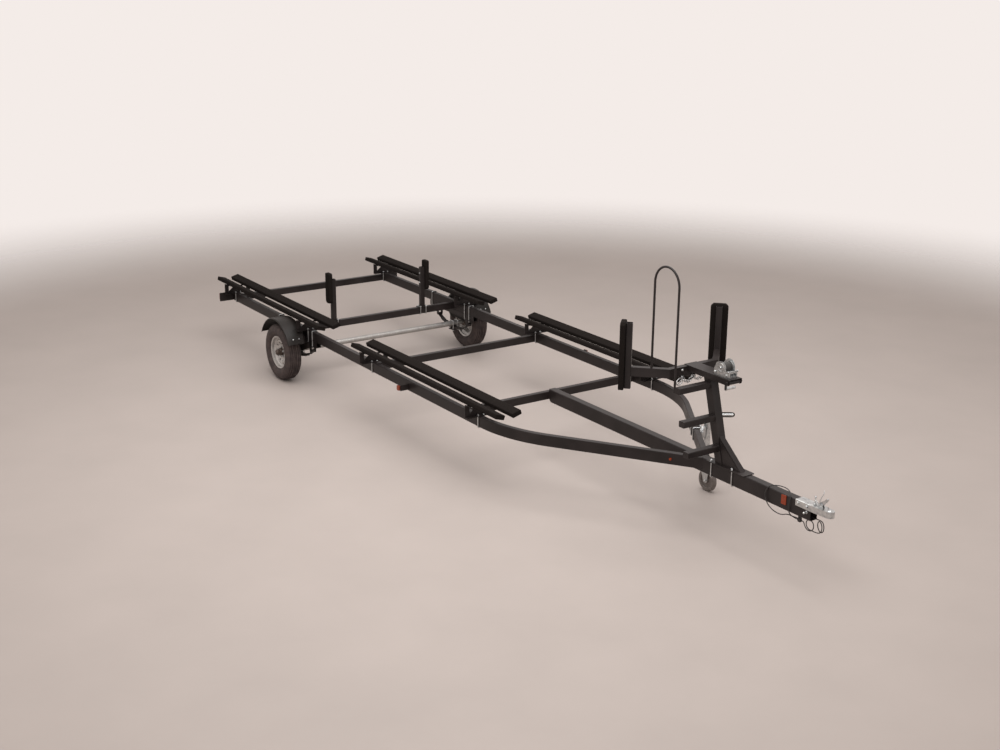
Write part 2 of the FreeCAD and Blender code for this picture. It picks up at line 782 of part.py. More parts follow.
def tyre(name, side):
    """A tyre with rounded shoulders, seated on the rim between its flanges."""
    body = new_body("tyre_" + name, (size("axle_x"), side * WHEEL_Y, size("wheel_radius")))
    top, half = size("wheel_radius"), size("tyre_width") / 2
    bead = size("bead_radius") + size("running_gap")
    flange = size("flange_radius") + size("rim_thickness")
    seat = size("rim_width") / 2 - 2.5 * size("rim_thickness")
    bulge, shoulder = (bead + top) / 2, size("tyre_shoulder")
    wall = half - shoulder / 8
    profile = [(bead, -seat), (flange, -seat), (bulge, -half), (top - shoulder, -wall),
               (top, shoulder - half), (top, half - shoulder), (top - shoulder, wall),
               (bulge, half), (flange, seat), (bead, seat)]
    spin(body, corner_loop(profile))
    return body


def rim(name, side):
    """A pressed wheel: a barrel with two flanges and a dished disc with round vents."""
    body = new_body("rim_" + name, (size("axle_x"), side * WHEEL_Y, size("wheel_radius")))
    metal, half = size("rim_thickness"), size("rim_width") / 2
    bead, flange, slope = size("bead_radius"), size("flange_radius"), size("rim_slope")
    well = bead - size("rim_well")
    inner_seat, outer_seat = size("rim_inner_seat") - half, half - size("rim_outer_seat")
    outside = [(flange, -half), (flange, -half + metal), (bead, -half + 2 * metal),
               (bead, inner_seat), (well, inner_seat + slope), (well, outer_seat - 1.5 * slope),
               (bead, outer_seat), (bead, half - 2 * metal), (flange, half - metal),
               (flange, half)]
    inside = [(flange - metal, half), (bead - metal, half - metal),
              (bead - metal, outer_seat + metal / 2),
              (well - metal, outer_seat - 1.5 * slope + metal / 2),
              (well - metal, inner_seat + slope - metal / 2),
              (bead - metal, inner_seat - metal / 2), (bead - metal, -half + metal),
              (flange - metal, -half)]
    spin(body, corner_loop([(r, side * y) for r, y in outside + inside]))
    rise, seat, bore = size("disc_rise"), size("hub_flange"), size("disc_bore_radius")
    edge, face = well - metal + 1, size("disc_face_radius")
    crest = well - size("rim_well")
    disc = [(edge, seat / 2), (crest + metal, rise - metal / 2), (crest - metal, rise),
            (face, seat), (bore, seat), (bore, seat + metal), (face - metal / 2, seat + metal),
            (crest - 1.5 * metal, rise + metal), (crest + 1.5 * metal, rise + metal / 2),
            (edge, seat / 2 + 2 * metal)]
    spin(body, corner_loop([(r, side * y) for r, y in disc]))
    hole_place = (face + crest - metal) / 2
    hole = cut(body, "XZ_Plane", ring(size("vent_radius"), (hole_place, 0.0)), -half, half)
    pattern = body.newObject("PartDesign::PolarPattern", "Vents")
    pattern.Originals = [hole]
    pattern.Axis = (next(f for f in body.Origin.OriginFeatures if f.Role == "Y_Axis"), [""])
    pattern.Angle = 360.0
    bind(pattern, "Occurrences", int(size("vent_count")))
    body.Tip = pattern
    return body


def hub(name, side):
    """A hub that runs on the spindle, with its wheel flange and grease cap."""
    body = new_body("hub_" + name, (size("axle_x"), side * WHEEL_Y, size("wheel_radius")))
    bore, barrel = size("spindle_radius") + size("shaft_gap"), size("hub_radius")
    flange_radius, step = size("hub_flange_radius"), size("cap_step")
    flange = size("hub_flange") - size("running_gap")
    back, nose, cap = -size("hub_back"), size("hub_nose"), size("cap_end")
    bore_end = size("spindle_reach") + size("bolt_rod") / 5
    outline = [(bore, back), (barrel + step / 2, back), (barrel + step / 2, 0),
               (flange_radius, 0), (flange_radius, flange), (barrel, flange), (barrel, nose),
               (barrel - step, nose + step / 2), (barrel - step, cap - step),
               (barrel - 2 * step, cap), (0, cap), (0, bore_end), (bore, bore_end)]
    spin(body, corner_loop([(r, side * y) for r, y in outline]))
    return body


def fender(name, side):
    """A round mudguard: a rolled skin with a lip outside and a skirt inside, which runs
    forward as a bracket to the hanger frame."""
    body = new_body("fender_" + name, (size("axle_x"), 0.0, size("wheel_radius")))
    radius, skin, lip = size("fender_radius"), size("fender_skin"), size("fender_lip")
    inner, outer = size("fender_inner_side"), size("fender_outer_side")
    round_side, turnup = size("fender_shoulder"), size("fender_turnup")
    deep = radius - round_side - 4 * skin
    section = [(deep, inner), (radius, inner), (radius, outer), (radius - lip, outer),
               (radius - lip, outer - skin), (radius - skin, outer - skin),
               (radius - skin, inner + skin), (deep, inner + skin)]
    bends = [0, round_side, turnup, 0, 0, turnup - skin, round_side - skin, 0]
    edges = corner_loop([(r, side * y) for r, y in section], bends)
    sweep_angle = size("fender_sweep_angle")
    spin(body, edges, angle="Sizes.fender_sweep_angle", start=270 - sweep_angle / 2)
    reach = radius - round_side - skin
    end = math.radians((180 - sweep_angle) / 2 + 2)
    arc_end = Vector(reach * math.cos(end), reach * math.sin(end), 0)
    arc_start = Vector(-arc_end.x, arc_end.y, 0)
    half, low = size("skirt_half"), size("skirt_height")
    front, front_low = size("skirt_front"), size("skirt_front_height")
    rail_level = RAIL_BOTTOM - size("wheel_radius")
    corners = [arc_start, Vector(-half, low, 0), Vector(half, low, 0),
               Vector(front, front_low, 0), Vector(front, rail_level, 0), arc_end]
    skirt = [Part.Arc(arc_end, Vector(0, reach, 0), arc_start)]
    skirt += [Part.LineSegment(a, b) for a, b in zip(corners, corners[1:])]
    wall = sorted((side * inner, side * (inner + skin)))
    slab(body, "XZ_Plane", skirt, wall[0], wall[1], "Sizes.fender_skin")
    return body


# Lamps and reflectors


def tail_bracket(name, side):
    """A plate at the rear end of the rail, with a flange along its outer face."""
    half, sheet, corner = size("frame_width") / 2, size("lamp_sheet"), size("lamp_corner")
    wide, tall, flange = size("tail_plate_width"), size("tail_plate_height"), size("lamp_flange")
    middle = size("rail_top") + size("tail_plate_above") - tall / 2
    body = new_body("tail_bracket_" + name, (0.0, side * half, middle))
    slab(body, "YZ_Plane", box_loop(wide, tall, corner, (side * wide / 2, 0.0)), 0.0, sheet)
    low, high = sorted((0.0, side * sheet))
    edges = box_loop(flange, tall - 3 * corner, corner / 2, (flange / 2, 0.0))
    slab(body, "XZ_Plane", edges, low, high)
    return body


def tail_lamp(name, side):
    """A closed lamp behind the tail plate."""
    wide, tall, corner = size("tail_plate_width"), size("tail_plate_height"), size("lamp_corner")
    middle = size("rail_top") + size("tail_plate_above") - tall / 2
    body = new_body("lamp_" + name, (0.0, side * (size("frame_width") + wide) / 2, middle))
    edges = box_loop(wide - 2 * corner, tall - 2 * corner, 1.5 * corner)
    slab(body, "YZ_Plane", edges, -size("tail_lamp_depth"), -size("running_gap"))
    return body


def marker_bracket(name, side):
    """A small bent plate that carries the side lamp clear of the rail."""
    half, reach, sheet = size("frame_width") / 2, size("marker_reach"), size("lamp_sheet")
    tall, corner, flange = size("marker_height"), size("lamp_corner"), size("lamp_flange")
    body = new_body("marker_bracket_" + name,
                    (size("marker_x"), side * half, RAIL_BOTTOM + size("marker_rise")))
    slab(body, "YZ_Plane", box_loop(reach, tall, corner, (side * reach / 2, 0.0)),
         -sheet / 2, sheet / 2)
    edges = box_loop(flange, tall, corner, (sheet / 2 - flange / 2, 0.0))
    for low, high in (sorted((side * reach, side * (reach - sheet))),
                      sorted((0.0, side * sheet))):
        slab(body, "XZ_Plane", edges, low, high)
    return body


def marker_lamp(name, side):
    """A side lamp on its plate."""
    out = size("frame_width") / 2 + size("marker_reach") + size("running_gap")
    flange, corner = size("lamp_flange"), size("lamp_corner")
    body = new_body("marker_lamp_" + name,
                    (size("marker_x") - flange / 2, side * out,
                     RAIL_BOTTOM + size("marker_rise")))
    low, high = sorted((0.0, side * size("marker_depth")))
    edges = box_loop(flange - 1.5 * corner, size("marker_height") - corner, corner)
    slab(body, "XZ_Plane", edges, low, high)
    return body


def arm_frame(side):
    """Direction along a bent rail's last run, its outward normal, and where the run starts
    on the outer face."""
    angle = math.radians(size("rail_bend_angle"))
    along = Vector(math.cos(angle), -side * math.sin(angle), 0)
    outward = Vector(math.sin(angle), side * math.cos(angle), 0)
    start = Vector(size("arm_start_x"), side * size("arm_start_y"), 0)
    return along, outward, start


def small_lamp(name, side):
    """A round lamp on the outer face of the bent rail."""
    along, outward, start = arm_frame(side)
    place = start + along * size("small_lamp_run") + outward * size("running_gap")
    turn = Rotation(ABOUT_Z, -side * size("rail_bend_angle"))
    middle = size("rail_top") - size("rail_height") / 2
    body = new_body("small_lamp_" + name, (place.x, place.y, middle), turn)
    radius = size("small_lamp_radius")
    low, high = sorted((0.0, side * radius))
    slab(body, "XZ_Plane", ring(radius), low, high)
    return body


def reflector(name, side):
    """A flat reflector on the side of the tongue."""
    out = side * (TONGUE_SIDE + size("running_gap"))
    body = new_body("reflector_" + name,
                    (size("reflector_x"), out, size("rail_top") - size("reflector_drop")))
    low, high = sorted((0.0, side * 1.5 * size("lamp_sheet")))
    edges = box_loop(size("reflector_length"), size("reflector_height"), size("lamp_sheet"))
    slab(body, "XZ_Plane", edges, low, high)
    return body


# Rear guides


def rear_guide_post(name, side):
    """A square post on a foot plate that is clamped to the second crossmember."""
    foot = RAIL_BOTTOM + size("cross_height")
    tube = size("guide_tube")
    body = new_body("rear_guide_post_" + name,
                    (crossmember_x(1), side * size("rear_guide_half"), foot))
    slab(body, "XY_Plane", tube_loops(tube, tube, size("tube_wall"), size("tube_corner")),
         size("bracket_plate"), size("rear_post_top") - foot)
    plate = box_loop(tube + 2 * size("bolt_rod"), tube + 7 * size("bolt_rod"),
                     size("tube_corner"))
    slab(body, "XY_Plane", plate, 0.0, size("bracket_plate"), "Sizes.bracket_plate")
    leg = size("cross_width") / 2 + size("bolt_rod") / 2 + size("running_gap")
    hole = size("bolt_rod") / 2 + size("running_gap")
    across = tube / 2 + size("bolt_rod")
    holes = []
    for x in (-leg, leg):
        for y in (-across, across):
            holes += ring(hole, (x, y))
    cut(body, "XY_Plane", holes, -1, size("bracket_plate") + 1)
    return body


def pad_loop(wide, tall, low_corner, high_corner):
    """Face of an upright guide board with its corners sawn off."""
    half = wide / 2
    return corner_loop([(-half, low_corner), (low_corner - half, 0), (half - low_corner, 0),
                        (half, low_corner), (half, tall - high_corner),
                        (half - high_corner, tall), (high_corner - half, tall),
                        (-half, tall - high_corner)])


def rear_guide_pad(name, side):
    """The carpeted board on the post's outer face."""
    low, high = size("rear_pad_bottom"), size("rear_pad_top")
    thick = size("bunk_thickness")
    y = size("rear_guide_half") + size("guide_tube") / 2 + size("soft_gap") + thick / 2
    body = new_body("rear_guide_pad_" + name, (crossmember_x(1), side * y, low))
    edges = pad_loop(size("bunk_width"), high - low, thick / 2, thick / 4)
    slab(body, "XZ_Plane", edges, -thick / 2, thick / 2, "Sizes.bunk_thickness")
    return body


# Winch stand


def post_axis_x(height):
    """Middle of the leaning post at a height above the ground."""
    return (size("post_foot_x")
            - (height - size("rail_top")) * math.tan(math.radians(size("post_lean_angle"))))


def post_outline(half, low, high):
    """Side view of the leaning post between two heights, from the stand's own origin."""
    slant = half / math.cos(math.radians(size("post_lean_angle")))
    origin_x, origin_z = size("post_foot_x"), size("rail_top")
    points = []
    for z, way in ((low, -1), (low, 1), (high, 1), (high, -1)):
        points.append((post_axis_x(z) + way * slant - origin_x, z - origin_z))
    return points


def winch_stand():
    """The leaning post with its foot plate, brace and gussets."""
    body = new_body("winch_stand", (size("post_foot_x"), 0.0, size("rail_top")))
    half, plate = size("post_size") / 2, size("stand_plate")
    base = size("rail_top") + plate
    slab(body, "XZ_Plane", corner_loop(post_outline(half, base, size("arm_top"))),
         -half, half, "Sizes.post_size")
    inner = half - 1.25 * size("tube_wall")
    cut(body, "XZ_Plane", corner_loop(post_outline(inner, base - 1, size("arm_top") + 1)),
        -inner, inner)
    rear = size("stand_plate_rear") - size("post_foot_x")
    front = size("stand_plate_front") - size("post_foot_x")
    wide = size("stand_plate_width")
    foot = box_loop(front - rear, wide, size("bolt_rod"), ((front + rear) / 2, 0.0))
    slab(body, "XY_Plane", foot, 0.0, plate, "Sizes.stand_plate")
    slant = half / math.cos(math.radians(size("post_lean_angle")))

    def face_x(height):
        return post_axis_x(height) + slant - size("post_foot_x")

    brace_top = base + size("brace_rise")
    brace_low = brace_top - size("brace_depth")
    setback, width = size("brace_setback"), size("brace_width")
    brace = [(face_x(brace_low) - 1, brace_low - size("rail_top")),
             (front - setback - 0.8 * size("brace_depth"), plate), (front - setback, plate),
             (face_x(brace_top) - 1, brace_top - size("rail_top"))]
    slab(body, "XZ_Plane", corner_loop(brace), -width / 2, width / 2, "Sizes.brace_width")
    gusset = [(face_x(base) - 1, plate), (front - setback - plate, plate),
              (face_x(brace_top) - 1, brace_top - 3 * plate - size("rail_top"))]
    for low in (-width / 2 - plate, width / 2):
        slab(body, "XZ_Plane", corner_loop(gusset), low, low + plate)
    leg = TONGUE_SIDE + size("bolt_rod") / 2 + size("running_gap")
    hole = size("bolt_rod") / 2 + size("running_gap")
    holes = []
    for x in stand_bolt_places():
        for y in (-leg, leg):
            holes += ring(hole, (x - size("post_foot_x"), y))
    cut(body, "XY_Plane", holes, -1, plate + 1)
    return body


def stand_bolt_places():
    """Where the two U-bolts of the stand go round the tongue."""
    return (size("stand_plate_rear") + size("stand_bolt_rear"),
            size("stand_plate_front") - size("stand_bolt_front"))


def access_step(label, top):
    """A closed-ended tube that stands out from the right side of the post."""
    tall, deep, reach = size("step_height"), size("step_depth"), size("step_reach")
    middle = top - tall / 2
    side = size("post_size") / 2
    body = new_body(label, (post_axis_x(middle), -side, middle))
    slab(body, "XZ_Plane", box_loop(deep, tall, size("tube_corner")), -reach, 0.0,
         "Sizes.step_reach")
    wall = size("tube_wall")
    cut(body, "XZ_Plane", box_loop(deep - 2 * wall, tall - 2 * wall, wall),
        wall - reach, 1.0)
    return body


def access_steps():
    """Three steps, one above the other."""
    tops = (size("low_step_top"), size("middle_step_top"), size("top_step_top"))
    return compound("access_steps", [access_step("step_%d" % (i + 1), top)
                                     for i, top in enumerate(tops)])


def hand_rail():
    """A tall bent rod from the back of the top step, over and down to the bow arm."""
    rear = size("hand_rail_rear_x")
    step_middle = size("top_step_top") - size("step_height") / 2
    front = (post_axis_x(step_middle) - size("step_depth") / 2 - size("rail_rod") / 2
             - size("soft_gap"))
    body = new_body("hand_rail", (rear, -size("hand_rail_y"), 0.0))
    span = front - rear
    bend_z = size("hand_rail_top") - size("rail_rod") / 2 - span / 2
    foot = size("top_step_top") - size("step_height")
    profile = sketch(body, "XY_Plane", ring(size("rail_rod") / 2, (span, 0.0)), lift=foot)
    path = sketch(body, "XZ_Plane", [
        Part.LineSegment(Vector(span, foot, 0), Vector(span, bend_z, 0)),
        Part.Arc(Vector(span, bend_z, 0), Vector(span / 2, bend_z + span / 2, 0),
                 Vector(0, bend_z, 0)),
        Part.LineSegment(Vector(0, bend_z, 0), Vector(0, size("arm_top"), 0)),
    ])
    sweep(body, profile, path, 3)
    return body


def arm_outline(half, extra=0.0):
    """Plan of the bow arms: straight across, then bent back at each end."""
    bend = math.radians(size("arm_bend_angle"))
    run = size("arm_run") + extra
    corner = size("arm_bend_half")
    mitre = half * math.tan(bend / 2)
    points = []
    for way in (1, -1):
        end = (-run * math.sin(bend), way * (corner + run * math.cos(bend)))
        normal = (math.cos(bend), way * math.sin(bend))
        front = (end[0] + half * normal[0], end[1] + half * normal[1])
        rear = (end[0] - half * normal[0], end[1] - half * normal[1])
        points.append([(half, way * (corner + mitre)), front, rear,
                       (-half, way * (corner - mitre))])
    return points[0] + points[1][::-1]


def guide_place(side, offset):
    """A point beyond the end of a bow arm, along the arm's last run."""
    bend = math.radians(size("arm_bend_angle"))
    run = size("arm_run") + offset
    return (size("arm_x") - run * math.sin(bend),
            side * (size("arm_bend_half") + run * math.cos(bend)))


def bow_arms():
    """The bent tube across the stand with a square post at each end."""
    low = size("arm_top") - size("arm_height")
    body = new_body("arm_tube", (size("arm_x"), 0.0, low))
    half, wall = size("arm_width") / 2, size("tube_wall")
    slab(body, "XY_Plane", corner_loop(arm_outline(half)), 0.0, size("arm_height"),
         "Sizes.arm_height")
    cut(body, "XY_Plane", corner_loop(arm_outline(half - wall, 1.0)), wall,
        size("arm_height") - wall)
    pieces = [body]
    tube = size("guide_tube")
    for name, side in SIDES.items():
        place = guide_place(side, tube / 2)
        low_end = size("front_pad_bottom") + size("tube_corner")
        post = new_body("front_post_" + name, (place[0], place[1], low_end),
                        Rotation(ABOUT_Z, side * size("arm_bend_angle")))
        slab(post, "XY_Plane", tube_loops(tube, tube, wall, size("tube_corner")), 0.0,
             size("front_pad_top") - size("post_short") - low_end)
        pieces.append(post)
    return fuse("bow_arms", pieces)


def front_guide_pad(name, side):
    """A wide carpeted board on the outer face of the arm's post."""
    thick, wide = size("bunk_thickness"), size("front_pad_width")
    low, high = size("front_pad_bottom"), size("front_pad_top")
    place = guide_place(side, size("guide_tube") + size("soft_gap") + thick / 2)
    body = new_body("front_guide_pad_" + name, (place[0], place[1], low),
                    Rotation(ABOUT_Z, side * size("arm_bend_angle")))
    edges = pad_loop(wide, high - low, thick / 4, thick / 2)
    slab(body, "XZ_Plane", edges, -thick / 2, thick / 2, "Sizes.bunk_thickness")
    return body


def winch_table():
    """A channel from the bow arms, over the post, to the winch, with a roller in front."""
    half, sheet, leg = size("table_width") / 2, size("table_sheet"), size("table_leg")
    arm_front = size("arm_x") + size("arm_width") / 2
    length = size("table_front") - arm_front
    body = new_body("winch_table", (arm_front, 0.0, size("arm_top")))
    slab(body, "YZ_Plane", box_loop(2 * half, sheet, 0.0, (0.0, sheet / 2)),
         -size("arm_width"), length - sheet)
    side = [(0, -leg), (length, -leg), (length, sheet), (0, sheet)]
    rounded = corner_loop(side, [0, leg / 2, sheet, 0])
    roller = (length - leg / 2, -leg / 2)
    for low in (-half, half - sheet):
        slab(body, "XZ_Plane", rounded, low, low + sheet, "Sizes.table_sheet")
    slab(body, "XZ_Plane", ring(size("roller_radius"), roller), -half + 1, half - 1)
    slab(body, "XZ_Plane", ring(size("bolt_rod"), roller), -half - size("bolt_rod"),
         half + size("bolt_rod"))
    return body


def winch_floor():
    """Height of the table's upper surface."""
    return size("arm_top") + size("table_sheet")


def gear_place():
    """The crank's shaft, from the drum's shaft: the pitch circles just touch."""
    reach = size("gear_radius") + size("pinion_radius")
    return -reach * 0.8, -reach * 0.6


def gear_loop(pitch_radius, teeth, first):
    """Outline of a spur gear, one tooth centred on the first angle."""
    module = 2 * size("gear_radius") / size("gear_teeth")
    tip, root = pitch_radius + 0.8 * module, pitch_radius - 1.05 * module
    step = 2 * math.pi / teeth
    flanks = ((root, 0.33), (pitch_radius, 0.215), (tip, 0.1))
    points = []
    for i in range(int(teeth)):
        middle = first + i * step
        for radius, share in flanks:
            angle = middle - share * step
            points.append((radius * math.cos(angle), radius * math.sin(angle)))
        for radius, share in reversed(flanks):
            angle = middle + share * step
            points.append((radius * math.cos(angle), radius * math.sin(angle)))
    return corner_loop(points)


def winch_frame():
    """A folded frame: a base, two round-topped cheeks that carry both shafts, and a front
    plate with a window."""
    body = new_body("winch_frame", (size("winch_x"), 0.0, winch_floor()))
    cheek, sheet = size("winch_cheek"), size("winch_sheet")
    front, rear, high = size("winch_front"), size("winch_rear"), size("drum_height")
    wide = 2 * (cheek + sheet)
    base = box_loop(front + rear, wide, sheet, ((front - rear) / 2, 0.0))
    slab(body, "XY_Plane", base, 0.0, sheet, "Sizes.winch_sheet")
    shoulder, round_top = size("winch_shoulder"), size("drum_flange") - sheet
    outline = [(-rear, 1), (front, 1), (front, shoulder), (shoulder, shoulder + sheet),
               (round_top, high + round_top), (-round_top, high + round_top),
               (-rear, shoulder)]
    radii = [sheet, sheet, 2 * sheet, 6 * sheet, round_top - 1, round_top - 1, 4 * sheet]
    crank_x, crank_z = gear_place()
    holes = (ring(size("drum_shaft") + size("shaft_gap"), (0.0, high))
             + ring(size("pinion_shaft") + size("shaft_gap"), (crank_x, high + crank_z)))
    for low in (-cheek - sheet, cheek):
        slab(body, "XZ_Plane", corner_loop(outline, radii) + holes, low, low + sheet)
    plate = box_loop(wide, shoulder - sheet, 2 * sheet, (0.0, shoulder / 2))
    window = box_loop(wide - 8 * sheet, shoulder / 2, 2 * sheet, (0.0, shoulder / 2 + sheet))
    slab(body, "YZ_Plane", plate + window, front - sheet, front)
    return body


def winch_drum():
    """Drum, flanges, shaft and the large gear outside the left cheek."""
    cheek, flange, shaft = size("winch_cheek"), size("drum_flange"), size("drum_shaft")
    sheet, thick = size("winch_sheet"), size("gear_thickness")
    body = new_body("winch_drum", (size("winch_x"), 0.0, winch_floor() + size("drum_height")))
    inner = cheek - 1.5 * size("soft_gap") - sheet / 2
    gear = cheek + sheet + size("drum_side_gap")
    outline = [(0, -gear - sheet), (shaft, -gear - sheet), (shaft, -inner), (flange, -inner),
               (flange, -inner + sheet), (size("drum_radius"), -inner + sheet),
               (size("drum_radius"), inner - sheet), (flange, inner - sheet),
               (flange, inner), (shaft, inner), (shaft, gear + 1), (0, gear + 1)]
    spin(body, corner_loop(outline))
    crank_x, crank_z = gear_place()
    mesh = math.atan2(crank_z, crank_x) + math.pi / size("gear_teeth")
    teeth = gear_loop(size("gear_radius"), size("gear_teeth"), mesh)
    slab(body, "XZ_Plane", teeth, gear, gear + thick, "Sizes.gear_thickness")
    return body


def winch_strap():
    """The strap wound on the drum, between the flanges."""
    body = new_body("winch_strap", (size("winch_x"), 0.0, winch_floor() + size("drum_height")))
    half = size("winch_cheek") - 2 * size("winch_sheet") - size("soft_gap")
    edges = ring(size("strap_radius")) + ring(size("drum_radius") + size("soft_gap"))
    slab(body, "XZ_Plane", edges, -half, half)
    return body


def winch_crank():
    """The pinion's shaft with its arm and grip on the left side."""
    crank_x, crank_z = gear_place()
    cheek, shaft, sheet = size("winch_cheek"), size("pinion_shaft"), size("crank_sheet")
    gear = cheek + size("winch_sheet") + size("drum_side_gap")
    body = new_body("winch_crank", (size("winch_x") + crank_x, 0.0,
                                    winch_floor() + size("drum_height") + crank_z))
    outer = size("table_width") / 2 + 2 * size("clearance") + sheet
    near_end = -cheek - size("winch_sheet") - size("clearance")
    outline = [(0, near_end), (shaft, near_end), (shaft, outer), (0, outer)]
    spin(body, corner_loop(outline))
    mesh = math.atan2(-crank_z, -crank_x)
    teeth = gear_loop(size("pinion_radius"), size("pinion_teeth"), mesh)
    slab(body, "XZ_Plane", teeth, gear, gear + size("gear_thickness"),
         "Sizes.gear_thickness")
    length, wide = size("crank_length"), size("crank_arm_width")
    arm = box_loop(wide, length + wide, wide / 2 - 0.1, (0.0, -length / 2))
    slab(body, "XZ_Plane", arm, outer - sheet, outer, "Sizes.crank_sheet")
    slab(body, "XZ_Plane", ring(size("crank_grip_radius"), (0.0, -length)), outer - 1,
         outer + size("crank_grip_length"))
    return body


# Jack


def jack_frame():
    """Turn of the jack so that its own X runs along the bent rail and Y stands outwards."""
    return Rotation(ABOUT_Z, -size("rail_bend_angle"))


def jack_bolt_runs():
    """Where the jack's two U-bolts go round the bent rail, along its outer face."""
    return [size("jack_run") + way * size("jack_bolt_spread") for way in (-1, 1)]


def jack_mount():
    """A plate on the rail with the swivel's boss and pin."""
    body = new_body("jack_mount", (size("jack_x"), size("jack_y"), 0.0), jack_frame())
    face, pivot = -size("jack_reach"), size("jack_pivot_height")
    plate, rod = size("jack_plate"), size("bolt_rod")
    tall = size("rail_height") + 6 * rod
    outline = box_loop(size("jack_plate_length"), tall, rod, (0.0, pivot))
    slab(body, "XZ_Plane", outline, face, face + plate, "Sizes.jack_plate")
    boss = face + plate + size("jack_boss")
    slab(body, "XZ_Plane", ring(size("jack_boss_radius"), (0.0, pivot)), face + plate, boss)
    slab(body, "XZ_Plane", ring(size("jack_pin_radius"), (0.0, pivot)), boss - 1,
         -size("jack_tube_radius") - 1)
    leg = (size("rail_height") + rod) / 2 + size("running_gap")
    middle = size("rail_top") - size("rail_height") / 2
    holes = []
    for x in (-size("jack_bolt_spread"), size("jack_bolt_spread")):
        for z in (middle - leg, middle + leg):
            holes += ring(rod / 2 + size("running_gap"), (x, z))
    cut(body, "XZ_Plane", holes, face - 1, face + plate + 1)
    return body


def jack_tube():
    """The outer tube with its swivel plate, cap and crank bearing."""
    body = new_body("jack_tube", (size("jack_x"), size("jack_y"), 0.0), jack_frame())
    low, high = size("jack_tube_bottom"), size("jack_tube_top")
    outer, wall, cap = size("jack_tube_radius"), size("jack_tube_wall"), size("jack_cap")
    pivot, flange = size("jack_pivot_height"), size("jack_flange")
    plate = size("jack_plate") + size("jack_boss") + size("running_gap") - size("jack_reach")
    slab(body, "XY_Plane", ring(outer), low, high)
    slab(body, "XY_Plane", ring(outer + wall), low, low + 2 * flange)
    slab(body, "XZ_Plane", ring(size("jack_flange_radius"), (0.0, pivot)), plate,
         plate + flange, "Sizes.jack_flange")
    neck = box_loop(1.5 * outer, 2 * size("jack_flange_radius") - cap, cap, (0.0, pivot))
    slab(body, "XZ_Plane", neck, plate + flange - 1, flange - outer)
    slab(body, "XY_Plane", ring(outer + wall), high - 5 * cap, high + 2 * cap)
    shaft_height = high - 2 * cap
    slab(body, "XZ_Plane", ring(2 * cap, (0.0, shaft_height)), 0.0,
         outer + size("jack_bearing"))
    pin = ring(size("jack_pin_radius") + size("shaft_gap"), (0.0, pivot))
    cut(body, "XZ_Plane", pin, plate - 1, -outer)
    cut(body, "XY_Plane", ring(outer - wall), low - 1, high - cap)
    return body


def jack_crank():
    """Side crank at the top of the jack: shaft, arm and grip."""
    high, cap = size("jack_tube_top"), size("jack_cap")
    outer = size("jack_tube_radius") + size("jack_bearing") + size("running_gap")
    body = new_body("jack_crank_shaft", (size("jack_x"), size("jack_y"), high - 2 * cap),
                    jack_frame())
    arm_face = outer + 2 * cap
    slab(body, "XZ_Plane", ring(cap), outer, arm_face + cap)
    reach, lift = size("jack_crank_reach"), size("jack_crank_lift")
    wide = size("jack_crank_width")
    length = math.hypot(reach, lift)
    arm = new_body("arm", (0, 0, 0))
    outline = box_loop(length + wide, wide, wide / 2 - 0.1, (length / 2, 0.0))
    slab(arm, "XZ_Plane", outline, arm_face, arm_face + cap, "Sizes.jack_cap")
    turn = Rotation(ABOUT_Y, -math.degrees(math.atan2(lift, reach)))
    arm.Placement = body.Placement.multiply(Placement(Vector(0, 0, 0), turn))
    grip = new_body("grip", (0, 0, 0))
    slab(grip, "XZ_Plane", ring(size("jack_grip_radius")), arm_face + cap - 1,
         arm_face + cap + size("jack_grip_length"))
    grip.Placement = body.Placement.multiply(Placement(Vector(reach, 0, lift), Rotation()))
    return fuse("jack_crank", [body, arm, grip])


def fork_top():
    """Height of the caster fork's crown: its underside clears the wheel."""
    return 2 * size("caster_radius") + size("clearance") + size("fork_crown")


def jack_leg():
    """The inner tube that carries the caster."""
    body = new_body("jack_leg", (size("jack_x"), size("jack_y"), 0.0))
    low = fork_top() + size("running_gap")
    foot, wall = size("jack_foot"), size("jack_tube_wall")
    rise = size("jack_tube_bottom") - size("clearance") - low - foot
    high = size("jack_tube_top") - size("jack_cap") - size("clearance") - rise
    outer = size("jack_tube_radius") - wall - size("jack_slide_gap")
    slab(body, "XY_Plane", ring(outer), low, high)
    cut(body, "XY_Plane", ring(outer - wall), low + foot, high + 1)
    slab(body, "XY_Plane", ring(size("jack_tube_radius")), low, low + foot)
    return body


def caster_fork():
    """A fork that trails the wheel, with its bearing ring and axle pin."""
    body = new_body("caster_fork", (size("jack_x"), size("jack_y"), 0.0))
    crown, radius, deep = fork_top(), size("caster_radius"), size("fork_crown")
    sheet, trail = size("fork_sheet"), size("caster_trail")
    half = size("caster_width") / 2 + size("fork_gap")
    nose = size("jack_tube_radius") + sheet
    plan = box_loop(trail + 2 * nose, 2 * (half + sheet), nose / 2, (trail / 2, 0.0))
    slab(body, "XY_Plane", plan, crown - deep, crown, "Sizes.fork_crown")
    foot, waist = radius - 2 * deep, 2 * deep
    cheek = [(-nose, crown - sheet), (trail - waist, foot), (trail + waist, foot),
             (trail + nose, crown - sheet)]
    for low in (-half - sheet, half):
        slab(body, "XZ_Plane", corner_loop(cheek, [0, waist - sheet, waist - sheet, 0]),
             low, low + sheet, "Sizes.fork_sheet")
    pin = half + 2 * sheet
    slab(body, "XZ_Plane", ring(size("caster_pin"), (trail, radius)), -pin, pin)
    return body


